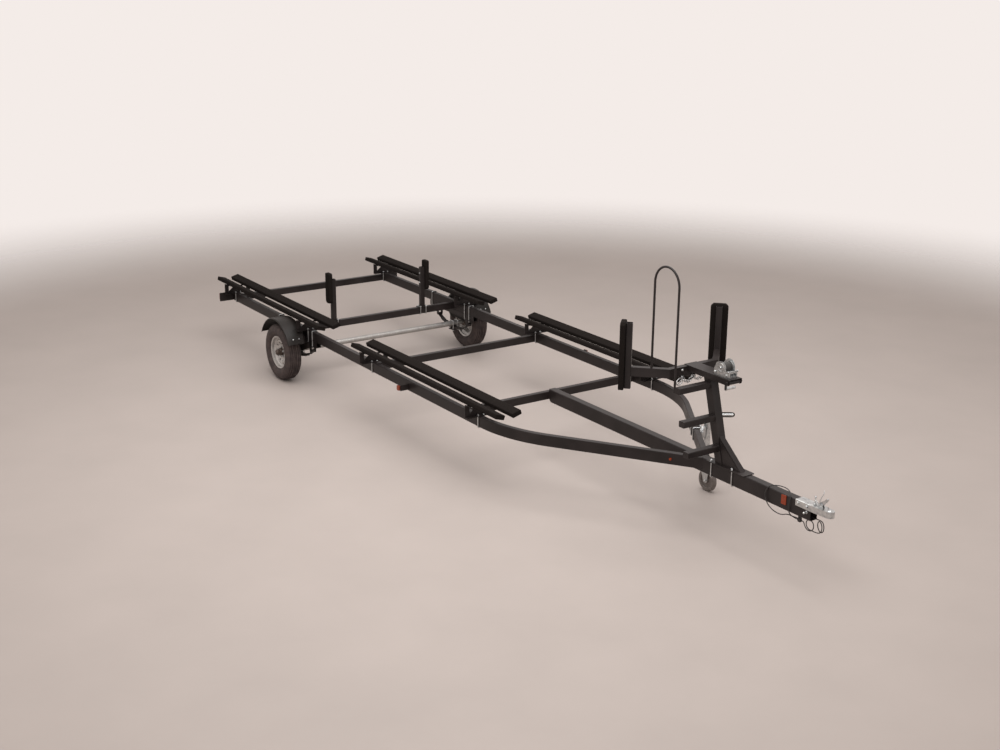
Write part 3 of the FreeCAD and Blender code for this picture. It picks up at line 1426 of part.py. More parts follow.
def caster_wheel():
    """A wheel with a raised hub and rim that runs on the fork's pin."""
    body = new_body("caster_wheel", (size("jack_x") + size("caster_trail"), size("jack_y"),
                                     size("caster_radius")))
    half, radius = size("caster_width") / 2, size("caster_radius")
    bore = size("caster_pin") + size("shaft_gap")
    hub_end, hub_radius = half + size("fork_gap") - size("running_gap") * 2, 3 * bore
    web, chamfer = half / 2, size("fork_crown")
    tread = 2 * radius / 3
    outline = [(bore, -hub_end), (hub_radius, -hub_end), (hub_radius + 4, -web),
               (tread - 4, -web), (tread, -half), (radius - chamfer, -half),
               (radius, chamfer - half), (radius, half - chamfer),
               (radius - chamfer, half), (tread, half), (tread - 4, web),
               (hub_radius + 4, web), (hub_radius, hub_end), (bore, hub_end)]
    spin(body, corner_loop(outline))
    return body


# Coupler


def domed_section(radius, low):
    """Half section of an upright cylinder with a round top, for a turn about its axis."""
    drop = size("socket_drop")
    shoulder = radius * math.sqrt(0.5)
    return [
        Part.LineSegment(Vector(0, low, 0), Vector(radius, low, 0)),
        Part.LineSegment(Vector(radius, low, 0), Vector(radius, -drop, 0)),
        Part.Arc(Vector(radius, -drop, 0), Vector(shoulder, shoulder - drop, 0),
                 Vector(0, radius - drop, 0)),
        Part.LineSegment(Vector(0, radius - drop, 0), Vector(0, low, 0)),
    ]


def coupler():
    """A pressed channel over the tongue's end with a domed socket for the ball."""
    body = new_body("coupler", (size("ball_x"), 0.0, size("rail_top")))
    rear, tongue_end = size("coupler_rear") - size("ball_x"), -size("ball_ahead")
    sheet, deep, taper = size("coupler_sheet"), size("coupler_side"), size("coupler_taper")
    half, radius = TONGUE_SIDE + sheet, size("socket_radius")
    channel = [(-half, -deep), (-TONGUE_SIDE, -deep), (-TONGUE_SIDE, 0), (TONGUE_SIDE, 0),
               (TONGUE_SIDE, -deep), (half, -deep), (half, sheet), (-half, sheet)]
    bend = sheet - 1
    slab(body, "YZ_Plane", corner_loop(channel, [0, 0, 0, 0, 0, 0, bend, bend]), rear,
         tongue_end + 1)
    nose = radius + 2 * sheet
    plan = [(tongue_end, -half), (tongue_end + taper, -half), (-2 * sheet, -nose),
            (nose, -nose), (nose, nose), (-2 * sheet, nose), (tongue_end + taper, half),
            (tongue_end, half)]
    rounds = [0, 4 * sheet, 6 * sheet, nose - 1, nose - 1, 6 * sheet, 4 * sheet, 0]
    slab(body, "XY_Plane", corner_loop(plan, rounds), -deep, sheet)
    inner, neck, setback = TONGUE_SIDE - sheet - 1, size("neck_half"), size("neck_setback")
    hollow_end = tongue_end + 6 * sheet
    hollow = [(tongue_end - 1, -inner), (hollow_end, -inner), (-setback, -neck),
              (-setback, neck), (hollow_end, inner), (tongue_end - 1, inner)]
    cut(body, "XY_Plane", corner_loop(hollow), -deep - 1, -sheet)
    dome = body.newObject("PartDesign::Revolution", "Dome")
    drawing = sketch(body, "XZ_Plane", domed_section(radius + sheet, 2 - deep))
    dome.Profile = drawing
    dome.ReferenceAxis = (drawing, ["V_Axis"])
    dome.Angle = 360.0
    socket = body.newObject("PartDesign::Groove", "Socket")
    drawing = sketch(body, "XZ_Plane", domed_section(radius, -deep - sheet))
    socket.Profile = drawing
    socket.ReferenceAxis = (drawing, ["V_Axis"])
    socket.Angle = 360.0
    return body


def coupler_latch():
    """The lever that closes the coupler, on its pivot ears."""
    body = new_body("coupler_latch", (size("ball_x") - size("latch_setback"), 0.0,
                                      size("rail_top") + size("coupler_sheet")))
    lever, sheet, ear, rise = (size("latch_lever"), size("latch_sheet"), size("latch_ear"),
                               size("latch_rise"))
    gap = size("shaft_gap")
    outline = [(-0.8 * ear, 0), (0.9 * ear, 0), (0.4 * ear, ear), (-0.35 * ear, ear)]
    for low in (-lever / 2 - sheet - gap, lever / 2 + gap):
        slab(body, "XZ_Plane", corner_loop(outline, [0, 0, 0.3 * ear, 0.3 * ear]), low,
             low + sheet)
    pin = lever / 2 + 1.5 * sheet
    slab(body, "XZ_Plane", ring(sheet + 1, (0.0, 0.65 * ear)), -pin, pin)
    shape = [(-0.18, 0.14), (0.18, 0.11), (0.66, 0.68), (0.8, 0.95), (0.64, 1.0),
             (0.45, 0.75), (-0.09, 0.39)]
    rounds = [rise * r for r in (0.06, 0.06, 0.09, 0.05, 0.05, 0.09, 0.09)]
    edges = corner_loop([(rise * x, rise * z) for x, z in shape], rounds)
    slab(body, "XZ_Plane", edges, -lever / 2, lever / 2, "Sizes.latch_lever")
    return body


# Wiring at the tongue's end


def cable_clip():
    """The clip under the tongue that holds both cables."""
    wide = size("clip_width")
    body = new_body("cable_clip", (size("clip_x"), 0.0, TONGUE_BOTTOM))
    slab(body, "XY_Plane", box_loop(wide, size("clip_thickness"), 2.0), -wide,
         -size("soft_gap"))
    slab(body, "XY_Plane", box_loop(wide, 2 * size("clip_thickness"), 4.0),
         -size("clip_drop"), -wide)
    return body


def wrapped_route():
    """The cable that is thrown over the tongue and comes back to its clip."""
    rear = size("clip_x") - size("clip_width") / 2 - size("soft_gap")
    side, top, low = TONGUE_SIDE, size("rail_top"), TONGUE_BOTTOM
    return [Vector(rear, -7, low - 44), Vector(rear - 34, -7, low - 44),
            Vector(rear - 62, -side, low - 14), Vector(rear - 62, -side - 14, low + 40),
            Vector(rear - 50, -side - 8, top + 14), Vector(rear - 98, -6, top + 24),
            Vector(rear - 166, 14, top + 30), Vector(rear - 241, -4, top + 28),
            Vector(rear - 291, -side, top + 14), Vector(rear - 316, -side - 14, top - 38),
            Vector(rear - 311, -side - 14, low + 28), Vector(rear - 266, -side - 12, low - 22),
            Vector(rear - 206, -side - 6, low - 47), Vector(rear - 156, -24, low - 58),
            Vector(rear - 110, -8, low - 38), Vector(rear - 70, 9, low - 47),
            Vector(rear - 34, 7, low - 42), Vector(rear, 7, low - 42)]


def turns(centre, across, drift, first, count):
    """Corners of a hanging coil: count steps of an eighth of a turn in a vertical plane."""
    reach = size("coil_radius") / math.cos(math.pi / 8)
    corners = []
    for i in range(count):
        angle = math.radians(first + 45.0 * i)
        corners.append(centre + across * (reach * math.sin(angle))
                       - ABOUT_Z * (reach * math.cos(angle)) + drift * i)
    return corners


def coiled_route():
    """The spare cable: two hanging coils between the clip and the tongue's open end."""
    front = size("clip_x") + size("clip_width") / 2 + size("soft_gap")
    end, low = size("tongue_front"), TONGUE_BOTTOM
    lift, step = size("coil_radius"), size("cable_radius") / 2
    first = Vector(front + 92, -11, low - 50)
    slant = Vector(0.94, -0.34, 0)
    second = Vector(front + 188, -6, low - 30)
    floor = low + 1.5 * size("tube_wall") + size("soft_gap") + size("cable_radius")
    return ([Vector(front, 0, low - 42), Vector(front + 27, 0, low - 42)]
            + turns(first, ABOUT_X, ABOUT_Y * step, -67.5, 11)
            + [Vector(first.x + 62, 4, first.z - lift + 2)]
            + turns(second, slant, Vector(0.34, 0.94, 0) * step, 22.5, 13)
            + [Vector(end - 5, 14, floor + 5), Vector(end - 55, 12, floor)])


def cord(label, route):
    """A round cable along straight runs that are joined by tangent arcs."""
    radius = size("cable_radius")
    edges, start, tightest = [], route[0], None
    for before, corner, after in zip(route, route[1:], route[2:]):
        back, ahead = before - corner, after - corner
        run = min(back.Length, ahead.Length)
        turn = math.pi - back.getAngle(ahead)
        bend = 0.45 * run / math.tan(turn / 2)
        tightest = bend if tightest is None else min(tightest, bend)
        back.normalize()
        ahead.normalize()
        cut_back = bend * math.tan(turn / 2)
        towards = (back + ahead).normalize()
        reach = bend / math.cos(turn / 2) - bend
        entry, leave = corner + back * cut_back, corner + ahead * cut_back
        edges.append(Part.LineSegment(start, entry).toShape())
        edges.append(Part.Arc(entry, corner + towards * reach, leave).toShape())
        start = leave
    edges.append(Part.LineSegment(start, route[-1]).toShape())
    wire = Part.Wire(edges)
    spine = DOC.addObject("Part::Feature", label + "_route")
    spine.Shape = wire
    section = DOC.addObject("Part::Feature", label + "_section")
    normal = route[1] - route[0]
    section.Shape = Part.Wire([Part.Circle(route[0], normal, radius).toShape()])
    pipe = DOC.addObject("Part::Sweep", label)
    pipe.Label = label
    pipe.Sections = [section]
    pipe.Spine = (spine, ["Edge%d" % (i + 1) for i in range(len(edges))])
    pipe.Solid = True
    pipe.Frenet = False
    pipe.Transition = "Transformed"
    pipe.Placement = Placement(Vector(-MIDDLE_X, 0, 0), Rotation())
    DOC.recompute()
    expected = math.pi * radius * radius * wire.Length
    share = pipe.Shape.Volume / expected
    print("cord %s: tightest bend %.1f mm, volume %.4f of section x length, lowest %.1f mm"
          % (label, tightest, share, pipe.Shape.BoundBox.ZMin))
    if abs(share - 1) > 0.02:
        raise RuntimeError("the sweep of %s is not its section times its length" % label)
    return pipe


# U-bolts


def frame_bolts():
    """The bright U-bolts of the whole frame."""
    bolts = []
    over = Rotation(ABOUT_X, 180)
    quarter = Rotation(ABOUT_Z, 90)
    rail, plate = size("rail_height"), size("bracket_plate")
    for name, side in SIDES.items():
        for i, x in enumerate(bracket_places()):
            on_frame = -size("hanger_rail_rear") < x - size("axle_x") < size("hanger_rail_front")
            extra = size("hanger_rail_height") if on_frame else 0.0
            bolts.append(u_bolt("rail_bolt_%s_%d" % (name, i + 1), size("rail_width"),
                                extra + rail + plate + 14,
                                (x, side * RAIL_Y, RAIL_BOTTOM - extra)))
        drop = rail + size("hanger_rail_height") + plate + 18
        for offset in (-size("hanger_bolt_rear"), size("hanger_bolt_front")):
            bolts.append(u_bolt("hanger_bolt_" + name, size("rail_width"), drop,
                                (size("axle_x") + offset, side * RAIL_Y, size("rail_top")),
                                over))
        clamp = 2 * size("axle_radius") + 2 * size("spring_seat") + size("bolt_rod")
        pack = size("leaf_count") * size("leaf_thickness")
        for way in (-1, 1):
            place = (size("axle_x"), side * RAIL_Y + way * axle_bolt_offset(),
                     size("wheel_radius") + size("axle_radius"))
            bolts.append(u_bolt("axle_bolt_" + name, 2 * size("axle_radius"), clamp + pack,
                                place, over.multiply(quarter)))
        across = size("guide_tube") / 2 + size("bolt_rod")
        for way in (-1, 1):
            y = side * size("rear_guide_half") + way * across
            bolts.append(u_bolt("guide_bolt_" + name, size("cross_width"),
                                size("cross_height") + plate + 12,
                                (crossmember_x(1), y, RAIL_BOTTOM), quarter))
    along, outward, start = arm_frame(1)
    for run in jack_bolt_runs():
        inner = start + along * run - outward * size("rail_width")
        place = (inner.x, inner.y, size("rail_top") - rail / 2)
        turn = Rotation(ABOUT_Z, -size("rail_bend_angle")).multiply(Rotation(ABOUT_X, -90))
        bolts.append(u_bolt("jack_bolt", rail, size("rail_width") + size("jack_plate")
                            + 2 * size("bolt_rod"), place, turn))
    for x in stand_bolt_places():
        bolts.append(u_bolt("stand_bolt", size("tongue_width"),
                            size("tongue_height") + size("stand_plate") + 14,
                            (x, 0.0, size("rail_top") - size("tongue_height"))))
    return compound("frame_bolts", bolts)


# The whole trailer


def build():
    """Makes every sub-part and returns them by name."""
    nodes = {}

    def keep(thing):
        nodes[thing.Label] = thing

    for name, side in SIDES.items():
        keep(side_rail(name, side))
    for index in range(4):
        keep(crossmember(index))
    keep(tongue_beam())
    for end in ("rear", "front"):
        for name, side in SIDES.items():
            keep(bunk_pair(end, name, side))
    for name, side in SIDES.items():
        keep(bunk_brackets(name, side))
        keep(leaf_spring(name, side))
        keep(hanger_frame(name, side))
        keep(fender(name, side))
        keep(tyre(name, side))
        keep(rim(name, side))
        keep(hub(name, side))
        keep(rear_guide_pad(name, side))
        keep(front_guide_pad(name, side))
    keep(axle())
    keep(compound("lamp_brackets", [make(name, side) for make in (tail_bracket, marker_bracket)
                                    for name, side in SIDES.items()]))
    keep(compound("tail_lamps", [tail_lamp(name, side) for name, side in SIDES.items()]))
    keep(compound("marker_lamps", [make(name, side) for make in (marker_lamp, small_lamp)
                                   for name, side in SIDES.items()]))
    keep(compound("reflectors", [reflector(name, side) for name, side in SIDES.items()]))
    keep(compound("rear_guide_posts", [rear_guide_post(name, side)
                                       for name, side in SIDES.items()]))
    keep(winch_stand())
    keep(access_steps())
    keep(hand_rail())
    keep(bow_arms())
    keep(winch_table())
    keep(winch_frame())
    keep(winch_drum())
    keep(winch_strap())
    keep(winch_crank())
    keep(jack_mount())
    keep(jack_tube())
    keep(jack_crank())
    keep(jack_leg())
    keep(caster_fork())
    keep(caster_wheel())
    keep(coupler())
    keep(coupler_latch())
    keep(cable_clip())
    keep(cord("cable_wrapped", wrapped_route()))
    keep(cord("cable_coiled", coiled_route()))
    keep(frame_bolts())
    return nodes


def check(nodes):
    """Stops if any object failed, a cut removed nothing, or a shape is not sound."""
    for thing in DOC.Objects:
        if "Invalid" in thing.State or "Error" in thing.State:
            raise RuntimeError("failed: " + thing.Label + " " + thing.Name)
        if thing.TypeId in ("PartDesign::Pocket", "PartDesign::Groove"):
            if thing.Shape.Volume >= thing.BaseFeature.Shape.Volume - 1:
                raise RuntimeError("nothing was cut: " + thing.Name)
    for name, thing in nodes.items():
        shape = thing.Shape
        if shape.isNull() or not shape.isValid() or not shape.Solids:
            raise RuntimeError("unsound shape: " + name)


def export(nodes):
    """Writes one file for each sub-part."""
    os.makedirs("parts", exist_ok=True)
    for name, thing in nodes.items():
        thing.Shape.exportStep("parts/" + name + ".step")


NODES = build()
DOC.recompute()
check(NODES)
export(NODES)
print("pieces", len(NODES))
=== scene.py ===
"""Looks of a single-axle boat trailer with carpeted bunks, a winch stand and a swivel jack."""

import json
import math
from contextlib import contextmanager

import bmesh
import bpy
from mathutils import Matrix, Vector, noise


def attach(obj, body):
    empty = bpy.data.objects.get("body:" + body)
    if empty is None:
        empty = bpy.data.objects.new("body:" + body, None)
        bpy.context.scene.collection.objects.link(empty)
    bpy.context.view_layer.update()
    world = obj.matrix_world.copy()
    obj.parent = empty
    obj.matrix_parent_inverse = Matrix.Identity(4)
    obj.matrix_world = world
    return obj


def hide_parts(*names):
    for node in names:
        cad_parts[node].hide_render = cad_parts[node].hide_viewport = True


bl_info = {
    "name": "Boat Trailer Looks",
    "version": (1, 0, 0),
    "blender": (4, 5, 0),
    "location": "View3D > Sidebar > Trailer",
    "description": "Dresses a boat trailer: paint, carpet, tyres, fasteners, lamps and winch",
    "category": "Object",
}

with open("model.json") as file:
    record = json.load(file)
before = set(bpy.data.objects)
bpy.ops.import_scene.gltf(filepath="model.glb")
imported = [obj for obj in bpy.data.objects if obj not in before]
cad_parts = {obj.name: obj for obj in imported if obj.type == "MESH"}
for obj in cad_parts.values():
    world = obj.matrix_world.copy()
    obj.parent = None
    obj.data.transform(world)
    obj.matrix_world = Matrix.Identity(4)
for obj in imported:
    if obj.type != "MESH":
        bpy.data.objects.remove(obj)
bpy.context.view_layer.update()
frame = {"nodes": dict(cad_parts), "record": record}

SIDES = {"left": 1, "right": -1}
WAYS = (-1, 1)
UP, DOWN, AHEAD, RIGHT = (0, 0, 1), (0, 0, -1), (1, 0, 0), (0, -1, 0)

# Places on the trailer in millimetres, X counted from the rear end of the side rails
MIDDLE_X = 4171.4
RAIL_Y = 994.6
PLATE_TOP = 594.6
AXLE_X, AXLE_Z, WHEEL_Y = 1689.0, 306.0, 1195.0
BRACKET_X = (68, 1965, 3377, 5310)
CROSSMEMBER_X = (0.0, 1655.0, 3310.0, 4965.0)
GUIDE_X = 1680.4
DRUM, PINION = (7320, 1400), (7259.2, 1354.4)
CHAIN_X, EYES_Y = 6967, (98, -20, -130)
JACK = Vector((6605, 515, 0))
LAMP_Y, LAMP_Z = 1110, 547.6

BEND = math.radians(34.3)
ALONG_RAIL = Vector((math.cos(BEND), -math.sin(BEND), 0))
OFF_RAIL = Vector((math.sin(BEND), math.cos(BEND), 0))
BUNK_TILT = math.radians(16)


def at(x, y, z):
    """A place on the trailer in metres, from millimetres with x from the rails' rear end."""
    return Vector(((x - MIDDLE_X) / 1000, y / 1000, z / 1000))


# Handling pieces


def nothing_selected():
    """Leaves every object unselected, so that an operator acts on one piece only."""
    bpy.ops.object.select_all(action="DESELECT")


def take(piece):
    """Selects one piece and makes it the active one."""
    nothing_selected()
    piece.select_set(True)
    bpy.context.view_layer.objects.active = piece
    return piece


def start(kind, name, **settings):
    """Adds a primitive at its size and place under a name of its own."""
    nothing_selected()
    getattr(bpy.ops.mesh, "primitive_%s_add" % kind)(**settings)
    piece = bpy.context.active_object
    piece.name = piece.data.name = name
    return piece


@contextmanager
def editing(piece, kind="FACE", action="DESELECT"):
    """Edit mode on one piece, with nothing selected at first, or all of it."""
    take(piece)
    bpy.ops.object.mode_set(mode="EDIT")
    bpy.ops.mesh.select_mode(type=kind)
    bpy.ops.mesh.select_all(action=action)
    yield
    bpy.ops.object.mode_set(mode="OBJECT")


def pick(piece, test):
    """Selects only the faces of the piece in edit mode that pass the test."""
    mesh = bmesh.from_edit_mesh(piece.data)
    for face in mesh.faces:
        face.select_set(False)
    for face in mesh.faces:
        if test(face):
            face.select_set(True)
    mesh.select_flush_mode()
    bmesh.update_edit_mesh(piece.data)


def apply_modifier(piece, kind, **settings):
    """Adds a modifier, sets it up and applies it."""
    take(piece)
    modifier = piece.modifiers.new(kind.title(), kind)
    for name, value in settings.items():
        setattr(modifier, name, value)
    bpy.ops.object.modifier_apply(modifier=modifier.name)


def settle(piece):
    """Puts the piece's place into its mesh."""
    take(piece)
    bpy.ops.object.transform_apply(location=True, rotation=True, scale=True)


def outward(piece):
    """Merges doubles and turns every face outwards."""
    with editing(piece, "FACE", "SELECT"):
        bpy.ops.mesh.remove_doubles(threshold=0.00001)
        bpy.ops.mesh.normals_make_consistent(inside=False)


def smooth(piece, angle=35.0):
    """Smooth shading up to an angle between faces."""
    take(piece)
    bpy.ops.object.shade_smooth_by_angle(angle=math.radians(angle))


def join(pieces, name):
    """One object from several."""
    joined = take(pieces[0])
    if len(pieces) > 1:
        for piece in pieces:
            piece.select_set(True)
        bpy.ops.object.join()
    joined.name = joined.data.name = name
    return joined


def copy_of(piece, name, matrix):
    """A copy of a piece with its own mesh, moved by a matrix."""
    twin = piece.copy()
    twin.data = piece.data.copy()
    twin.name = twin.data.name = name
    bpy.context.collection.objects.link(twin)
    twin.data.transform(matrix)
    if matrix.determinant() < 0:
        twin.data.flip_normals()
    return twin


def facing(place, axis, turn=0.0):
    """Stands a piece that is modelled upright at a place in millimetres, along an axis."""
    tilt = Vector(UP).rotation_difference(Vector(axis)).to_matrix().to_4x4()
    return Matrix.Translation(at(*place)) @ tilt @ Matrix.Rotation(math.radians(turn), 4, "Z")


def drop(*masters):
    """Removes the pieces that were only there to be copied."""
    for master in masters:
        bpy.data.objects.remove(master)


def extrude(height, scale=1.0):
    """Extrudes what is selected in edit mode along Z, in millimetres, and scales it there."""
    bpy.ops.mesh.extrude_region_move(TRANSFORM_OT_translate={"value": (0, 0, height / 1000)})
    bpy.ops.transform.resize(value=(scale, scale, 1.0))


def fastener(name, across, high, dome=0.0):
    """A washer and a hexagon with its corners turned off, standing on z = 0, in mm. Its
    top may be drawn up into a dome."""
    washer = start("cylinder", name, vertices=20, radius=across * 0.00064, depth=0.002,
                   location=(0, 0, 0.001))
    settle(washer)
    apply_modifier(washer, "BEVEL", width=0.0005, segments=1, limit_method="ANGLE")
    chamfer = across * 0.09
    nut = start("cylinder", name, vertices=6, radius=across / 1000 / math.sqrt(3),
                depth=(high - 2 * chamfer) / 1000, location=(0, 0, 0.002 + high / 2000))
    settle(nut)
    with editing(nut):
        for way in (1, -1):
            pick(nut, lambda face: face.normal.z * way > 0.9)
            extrude(way * chamfer, 0.87)
        if dome:
            pick(nut, lambda face: face.normal.z > 0.9)
            bpy.ops.mesh.inset(thickness=across / 1000 * 0.06)
            extrude(dome * 0.7, 0.84)
            extrude(dome * 0.3, 0.5)
    return join([nut, washer], name)


def line_of(name, places, radius, rounding, steps, closed=False):
    """A smooth round line that is led by places, in metres."""
    line = bpy.data.curves.new(name, "CURVE")
    line.dimensions = "3D"
    line.bevel_depth = radius
    line.bevel_resolution = rounding
    spline = line.splines.new("NURBS")
    spline.points.add(len(places) - 1)
    for point, place in zip(spline.points, places):
        point.co = (*place, 1.0)
    spline.order_u = 3
    spline.use_endpoint_u = not closed
    spline.use_cyclic_u = closed
    spline.resolution_u = steps
    piece = bpy.data.objects.new(name, line)
    bpy.context.scene.collection.objects.link(piece)
    return piece


def rod(name, points, radius, closed=False, rounding=2):
    """A round rod or wire whose line is led by points, in millimetres."""
    piece = line_of(name, [at(*point) for point in points], radius / 1000, rounding, 6, closed)
    piece.data.use_fill_caps = True
    take(piece)
    bpy.ops.object.convert(target="MESH")
    smooth(bpy.context.active_object, 50)
    return bpy.context.active_object


def spun(name, profile, steps, axis):
    """A closed outline of radii and heights, in millimetres, spun about the Y or Z axis."""
    piece = start("circle", name, vertices=len(profile), radius=1.0)
    for vertex, (radius, height) in zip(piece.data.vertices, profile):
        vertex.co = (radius / 1000, axis[1] * height / 1000, axis[2] * height / 1000)
    with editing(piece, "VERT", "SELECT"):
        bpy.ops.mesh.spin(steps=steps, angle=math.tau, center=(0, 0, 0), axis=axis)
    outward(piece)
    return piece


def turned(name, profile, steps):
    """A small piece turned about Z from its radii and heights, in millimetres."""
    piece = spun(name, profile, steps, UP)
    smooth(piece)
    return piece


def block(name, size, place, bevel):
    """A block with rounded edges, sizes and place in millimetres."""
    piece = start("cube", name, size=1.0, location=at(*place))
    piece.scale = [s / 1000 for s in size]
    settle(piece)
    apply_modifier(piece, "BEVEL", width=bevel / 1000, segments=2, limit_method="ANGLE")
    smooth(piece, 40)
    return piece


def dress(piece, slot, body="frame", *nodes):
    """Gives a finished piece its material, its body and the nodes that it stands for."""
    piece.data.materials.clear()
    piece.data.materials.append(FINISHES[slot])
    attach(piece, body)
    if nodes:
        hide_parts(*nodes)


def fit(master, name, spots, slot="zinc", body="frame", *nodes):
    """Sets a copy of the master at each spot, as one dressed piece."""
    dress(join([copy_of(master, name, spot) for spot in spots], name), slot, body, *nodes)


# Materials


def linear(code):
    """A colour written as an sRGB hex value, turned to linear."""
    parts = [int(code[i:i + 2], 16) / 255 for i in (1, 3, 5)]
    return [p / 12.92 if p <= 0.04045 else ((p + 0.055) / 1.055) ** 2.4 for p in parts] + [1.0]


def add(tree, kind, sockets=None, **settings):
    """Adds a shader node; sockets maps an input to a value or to another node's output."""
    node = tree.nodes.new("ShaderNode" + kind)
    for name, value in settings.items():
        setattr(node, name, value)
    for name, value in (sockets or {}).items():
        if isinstance(value, bpy.types.NodeSocket):
            tree.links.new(value, node.inputs[name])
        else:
            node.inputs[name].default_value = value
    return node


def grain(tree, millimetres, detail=2.0, stretch=None):
    """Noise on the object's own coordinates whose lumps are so many millimetres apart."""
    place = add(tree, "TexCoord").outputs["Object"]
    if stretch:
        place = add(tree, "Mapping", {"Vector": place, "Scale": stretch}).outputs["Vector"]
    return add(tree, "TexNoise", {"Vector": place, "Scale": 1000.0 / millimetres,
                                  "Detail": detail, "Roughness": 0.55}).outputs["Fac"]


def bands_apart(millimetres):
    """The scale at which a wave texture's bands are so many millimetres apart."""
    return math.tau / 20.0 / (millimetres / 1000.0)


def bare_tree(owner):
    """The emptied node tree of a new material or world."""
    owner.use_nodes = True
    owner.node_tree.nodes.clear()
    return owner.node_tree


# Most of a noise pattern lies between these
NOISE_ENDS = {"From Min": 0.3, "From Max": 0.7}


def surface(name, build):
    """A material with one principled shader whose sockets the build function fills. Its
    base colour is a pattern, the two hex colours that it leads between and where on the
    pattern they lie. Its roughness is one number, or a pattern and two numbers. Its relief
    is a pattern, the strength at which it shows and its height in metres."""
    material = bpy.data.materials.new(name)
    tree = bare_tree(material)
    sockets = build(tree)
    pattern, first, second, *ends = sockets["Base Color"]
    ramp = add(tree, "ValToRGB", {"Fac": pattern})
    for stop, end, colour in zip(ramp.color_ramp.elements, ends or (0.35, 0.65),
                                 (first, second)):
        stop.position, stop.color = end, linear(colour)
    sockets["Base Color"] = ramp.outputs["Color"]
    if isinstance(sockets["Roughness"], tuple):
        pattern, low, high = sockets["Roughness"]
        spread = {"Value": pattern, "To Min": low, "To Max": high, **NOISE_ENDS}
        sockets["Roughness"] = add(tree, "MapRange", spread).outputs["Result"]
    if "Relief" in sockets:
        relief = dict(zip(("Height", "Strength", "Distance"), sockets.pop("Relief")))
        sockets["Normal"] = add(tree, "Bump", relief).outputs["Normal"]
    shader = add(tree, "BsdfPrincipled", sockets)
    add(tree, "OutputMaterial", {"Surface": shader.outputs["BSDF"]})
    return material


def powder_coat(tree):
    """Baked polyester powder on steel: a satin skin with a fine orange peel and a little
    dust that settles in patches."""
    peel = grain(tree, 5.0)
    cloud = grain(tree, 240.0, 5.0)
    return {"Base Color": (cloud, "#1d1817", "#292322"),
            "Roughness": (cloud, 0.36, 0.48),
            "Relief": (peel, 0.12, 0.0006), "Specular IOR Level": 0.26}


def carpet(tree):
    """Needle-punched polypropylene: short matted fibres with no gloss. The fibres are
    drawn about 4 mm long, coarser than the real ones, so that they show."""
    fibre = grain(tree, 4.0, 6.0)
    tuft = grain(tree, 26.0, 4.0)
    height = add(tree, "Math", {0: fibre, 1: tuft}, operation="ADD").outputs["Value"]
    return {"Base Color": (fibre, "#14110f", "#272220", 0.3, 0.72),
            "Roughness": 0.96, "Relief": (height, 0.7, 0.003), "Specular IOR Level": 0.05}


def zinc_plate(tree):
    """Bright zinc on pressed steel: pale, slightly blue and yellow in patches, softly
    mirror-like."""
    patch = grain(tree, 34.0, 4.0)
    fine = grain(tree, 1.6, 2.0)
    return {"Base Color": (patch, "#adafb1", "#cccdcb"),
            "Metallic": 1.0, "Roughness": (patch, 0.24, 0.42),
            "Relief": (fine, 0.08, 0.0004)}


def hot_zinc(tree):
    """Hot-dip galvanising: dull grey with the large crystals of frozen zinc."""
    place = add(tree, "TexCoord").outputs["Object"]
    spangle = add(tree, "TexVoronoi", {"Vector": place, "Scale": 1000.0 / 12.0})
    cloud = grain(tree, 60.0, 4.0)
    mixed = add(tree, "Math", {0: spangle.outputs["Distance"], 1: cloud},
                operation="MULTIPLY")
    return {"Base Color": (mixed.outputs["Value"], "#979491", "#b4b1ad", 0.1, 0.45),
            "Metallic": 0.85, "Roughness": (cloud, 0.42, 0.6)}


def wheel_enamel(tree):
    """Stoved silver enamel on a pressed wheel: a grey metallic paint. Its flake is drawn
    1.5 mm apart, much coarser than the real one, so that it shows."""
    flake = grain(tree, 1.5, 1.0)
    cloud = grain(tree, 70.0, 4.0)
    return {"Base Color": (cloud, "#a8a4a1", "#c2beba"),
            "Metallic": 0.55, "Roughness": (flake, 0.36, 0.5),
            "Coat Weight": 0.2, "Coat Roughness": 0.25}


def tyre_rubber(tree):
    """Carbon-black rubber with a brown bloom and road dust in patches."""
    dust = grain(tree, 55.0, 6.0)
    skin = grain(tree, 3.0, 3.0)
    return {"Base Color": (dust, "#342c2b", "#4e4340"),
            "Roughness": (dust, 0.66, 0.85),
            "Relief": (skin, 0.25, 0.0006), "Specular IOR Level": 0.35}


def fender_plastic(tree):
    """Black polyethylene, moulded with a leather-like grain."""
    pebble = grain(tree, 4.0, 1.0)
    cloud = grain(tree, 120.0, 4.0)
    return {"Base Color": (cloud, "#16120f", "#221d1b"),
            "Roughness": (cloud, 0.38, 0.5),
            "Relief": (pebble, 0.35, 0.0008), "Specular IOR Level": 0.24}


def lens(dark, light):
    """A moulded polycarbonate lens with upright ribs, deep in colour and glossy. The ribs
    are turned half way between X and Y, so that they show on the faces of either."""
    def build(tree):
        place = add(tree, "TexCoord").outputs["Object"]
        across = add(tree, "Mapping", {"Vector": place, "Rotation": (0.0, 0.0, math.pi / 4)})
        ribs = add(tree, "TexWave", {"Vector": across.outputs["Vector"],
                                     "Scale": bands_apart(6.0)},
                   bands_direction="X").outputs["Fac"]
        return {"Base Color": (ribs, dark, light, 0.0, 1.0),
                "Roughness": 0.24, "Specular IOR Level": 0.35,
                "Relief": (ribs, 0.3, 0.001), "IOR": 1.58}
    return build


def moulded_nylon(tree):
    """Dark glass-filled nylon: matte, with faint flow marks."""
    flow = grain(tree, 18.0, 4.0, (1.0, 1.0, 3.0))
    return {"Base Color": (flow, "#5d5551", "#746b66"),
            "Roughness": (flow, 0.4, 0.55),
            "Relief": (flow, 0.15, 0.0006)}


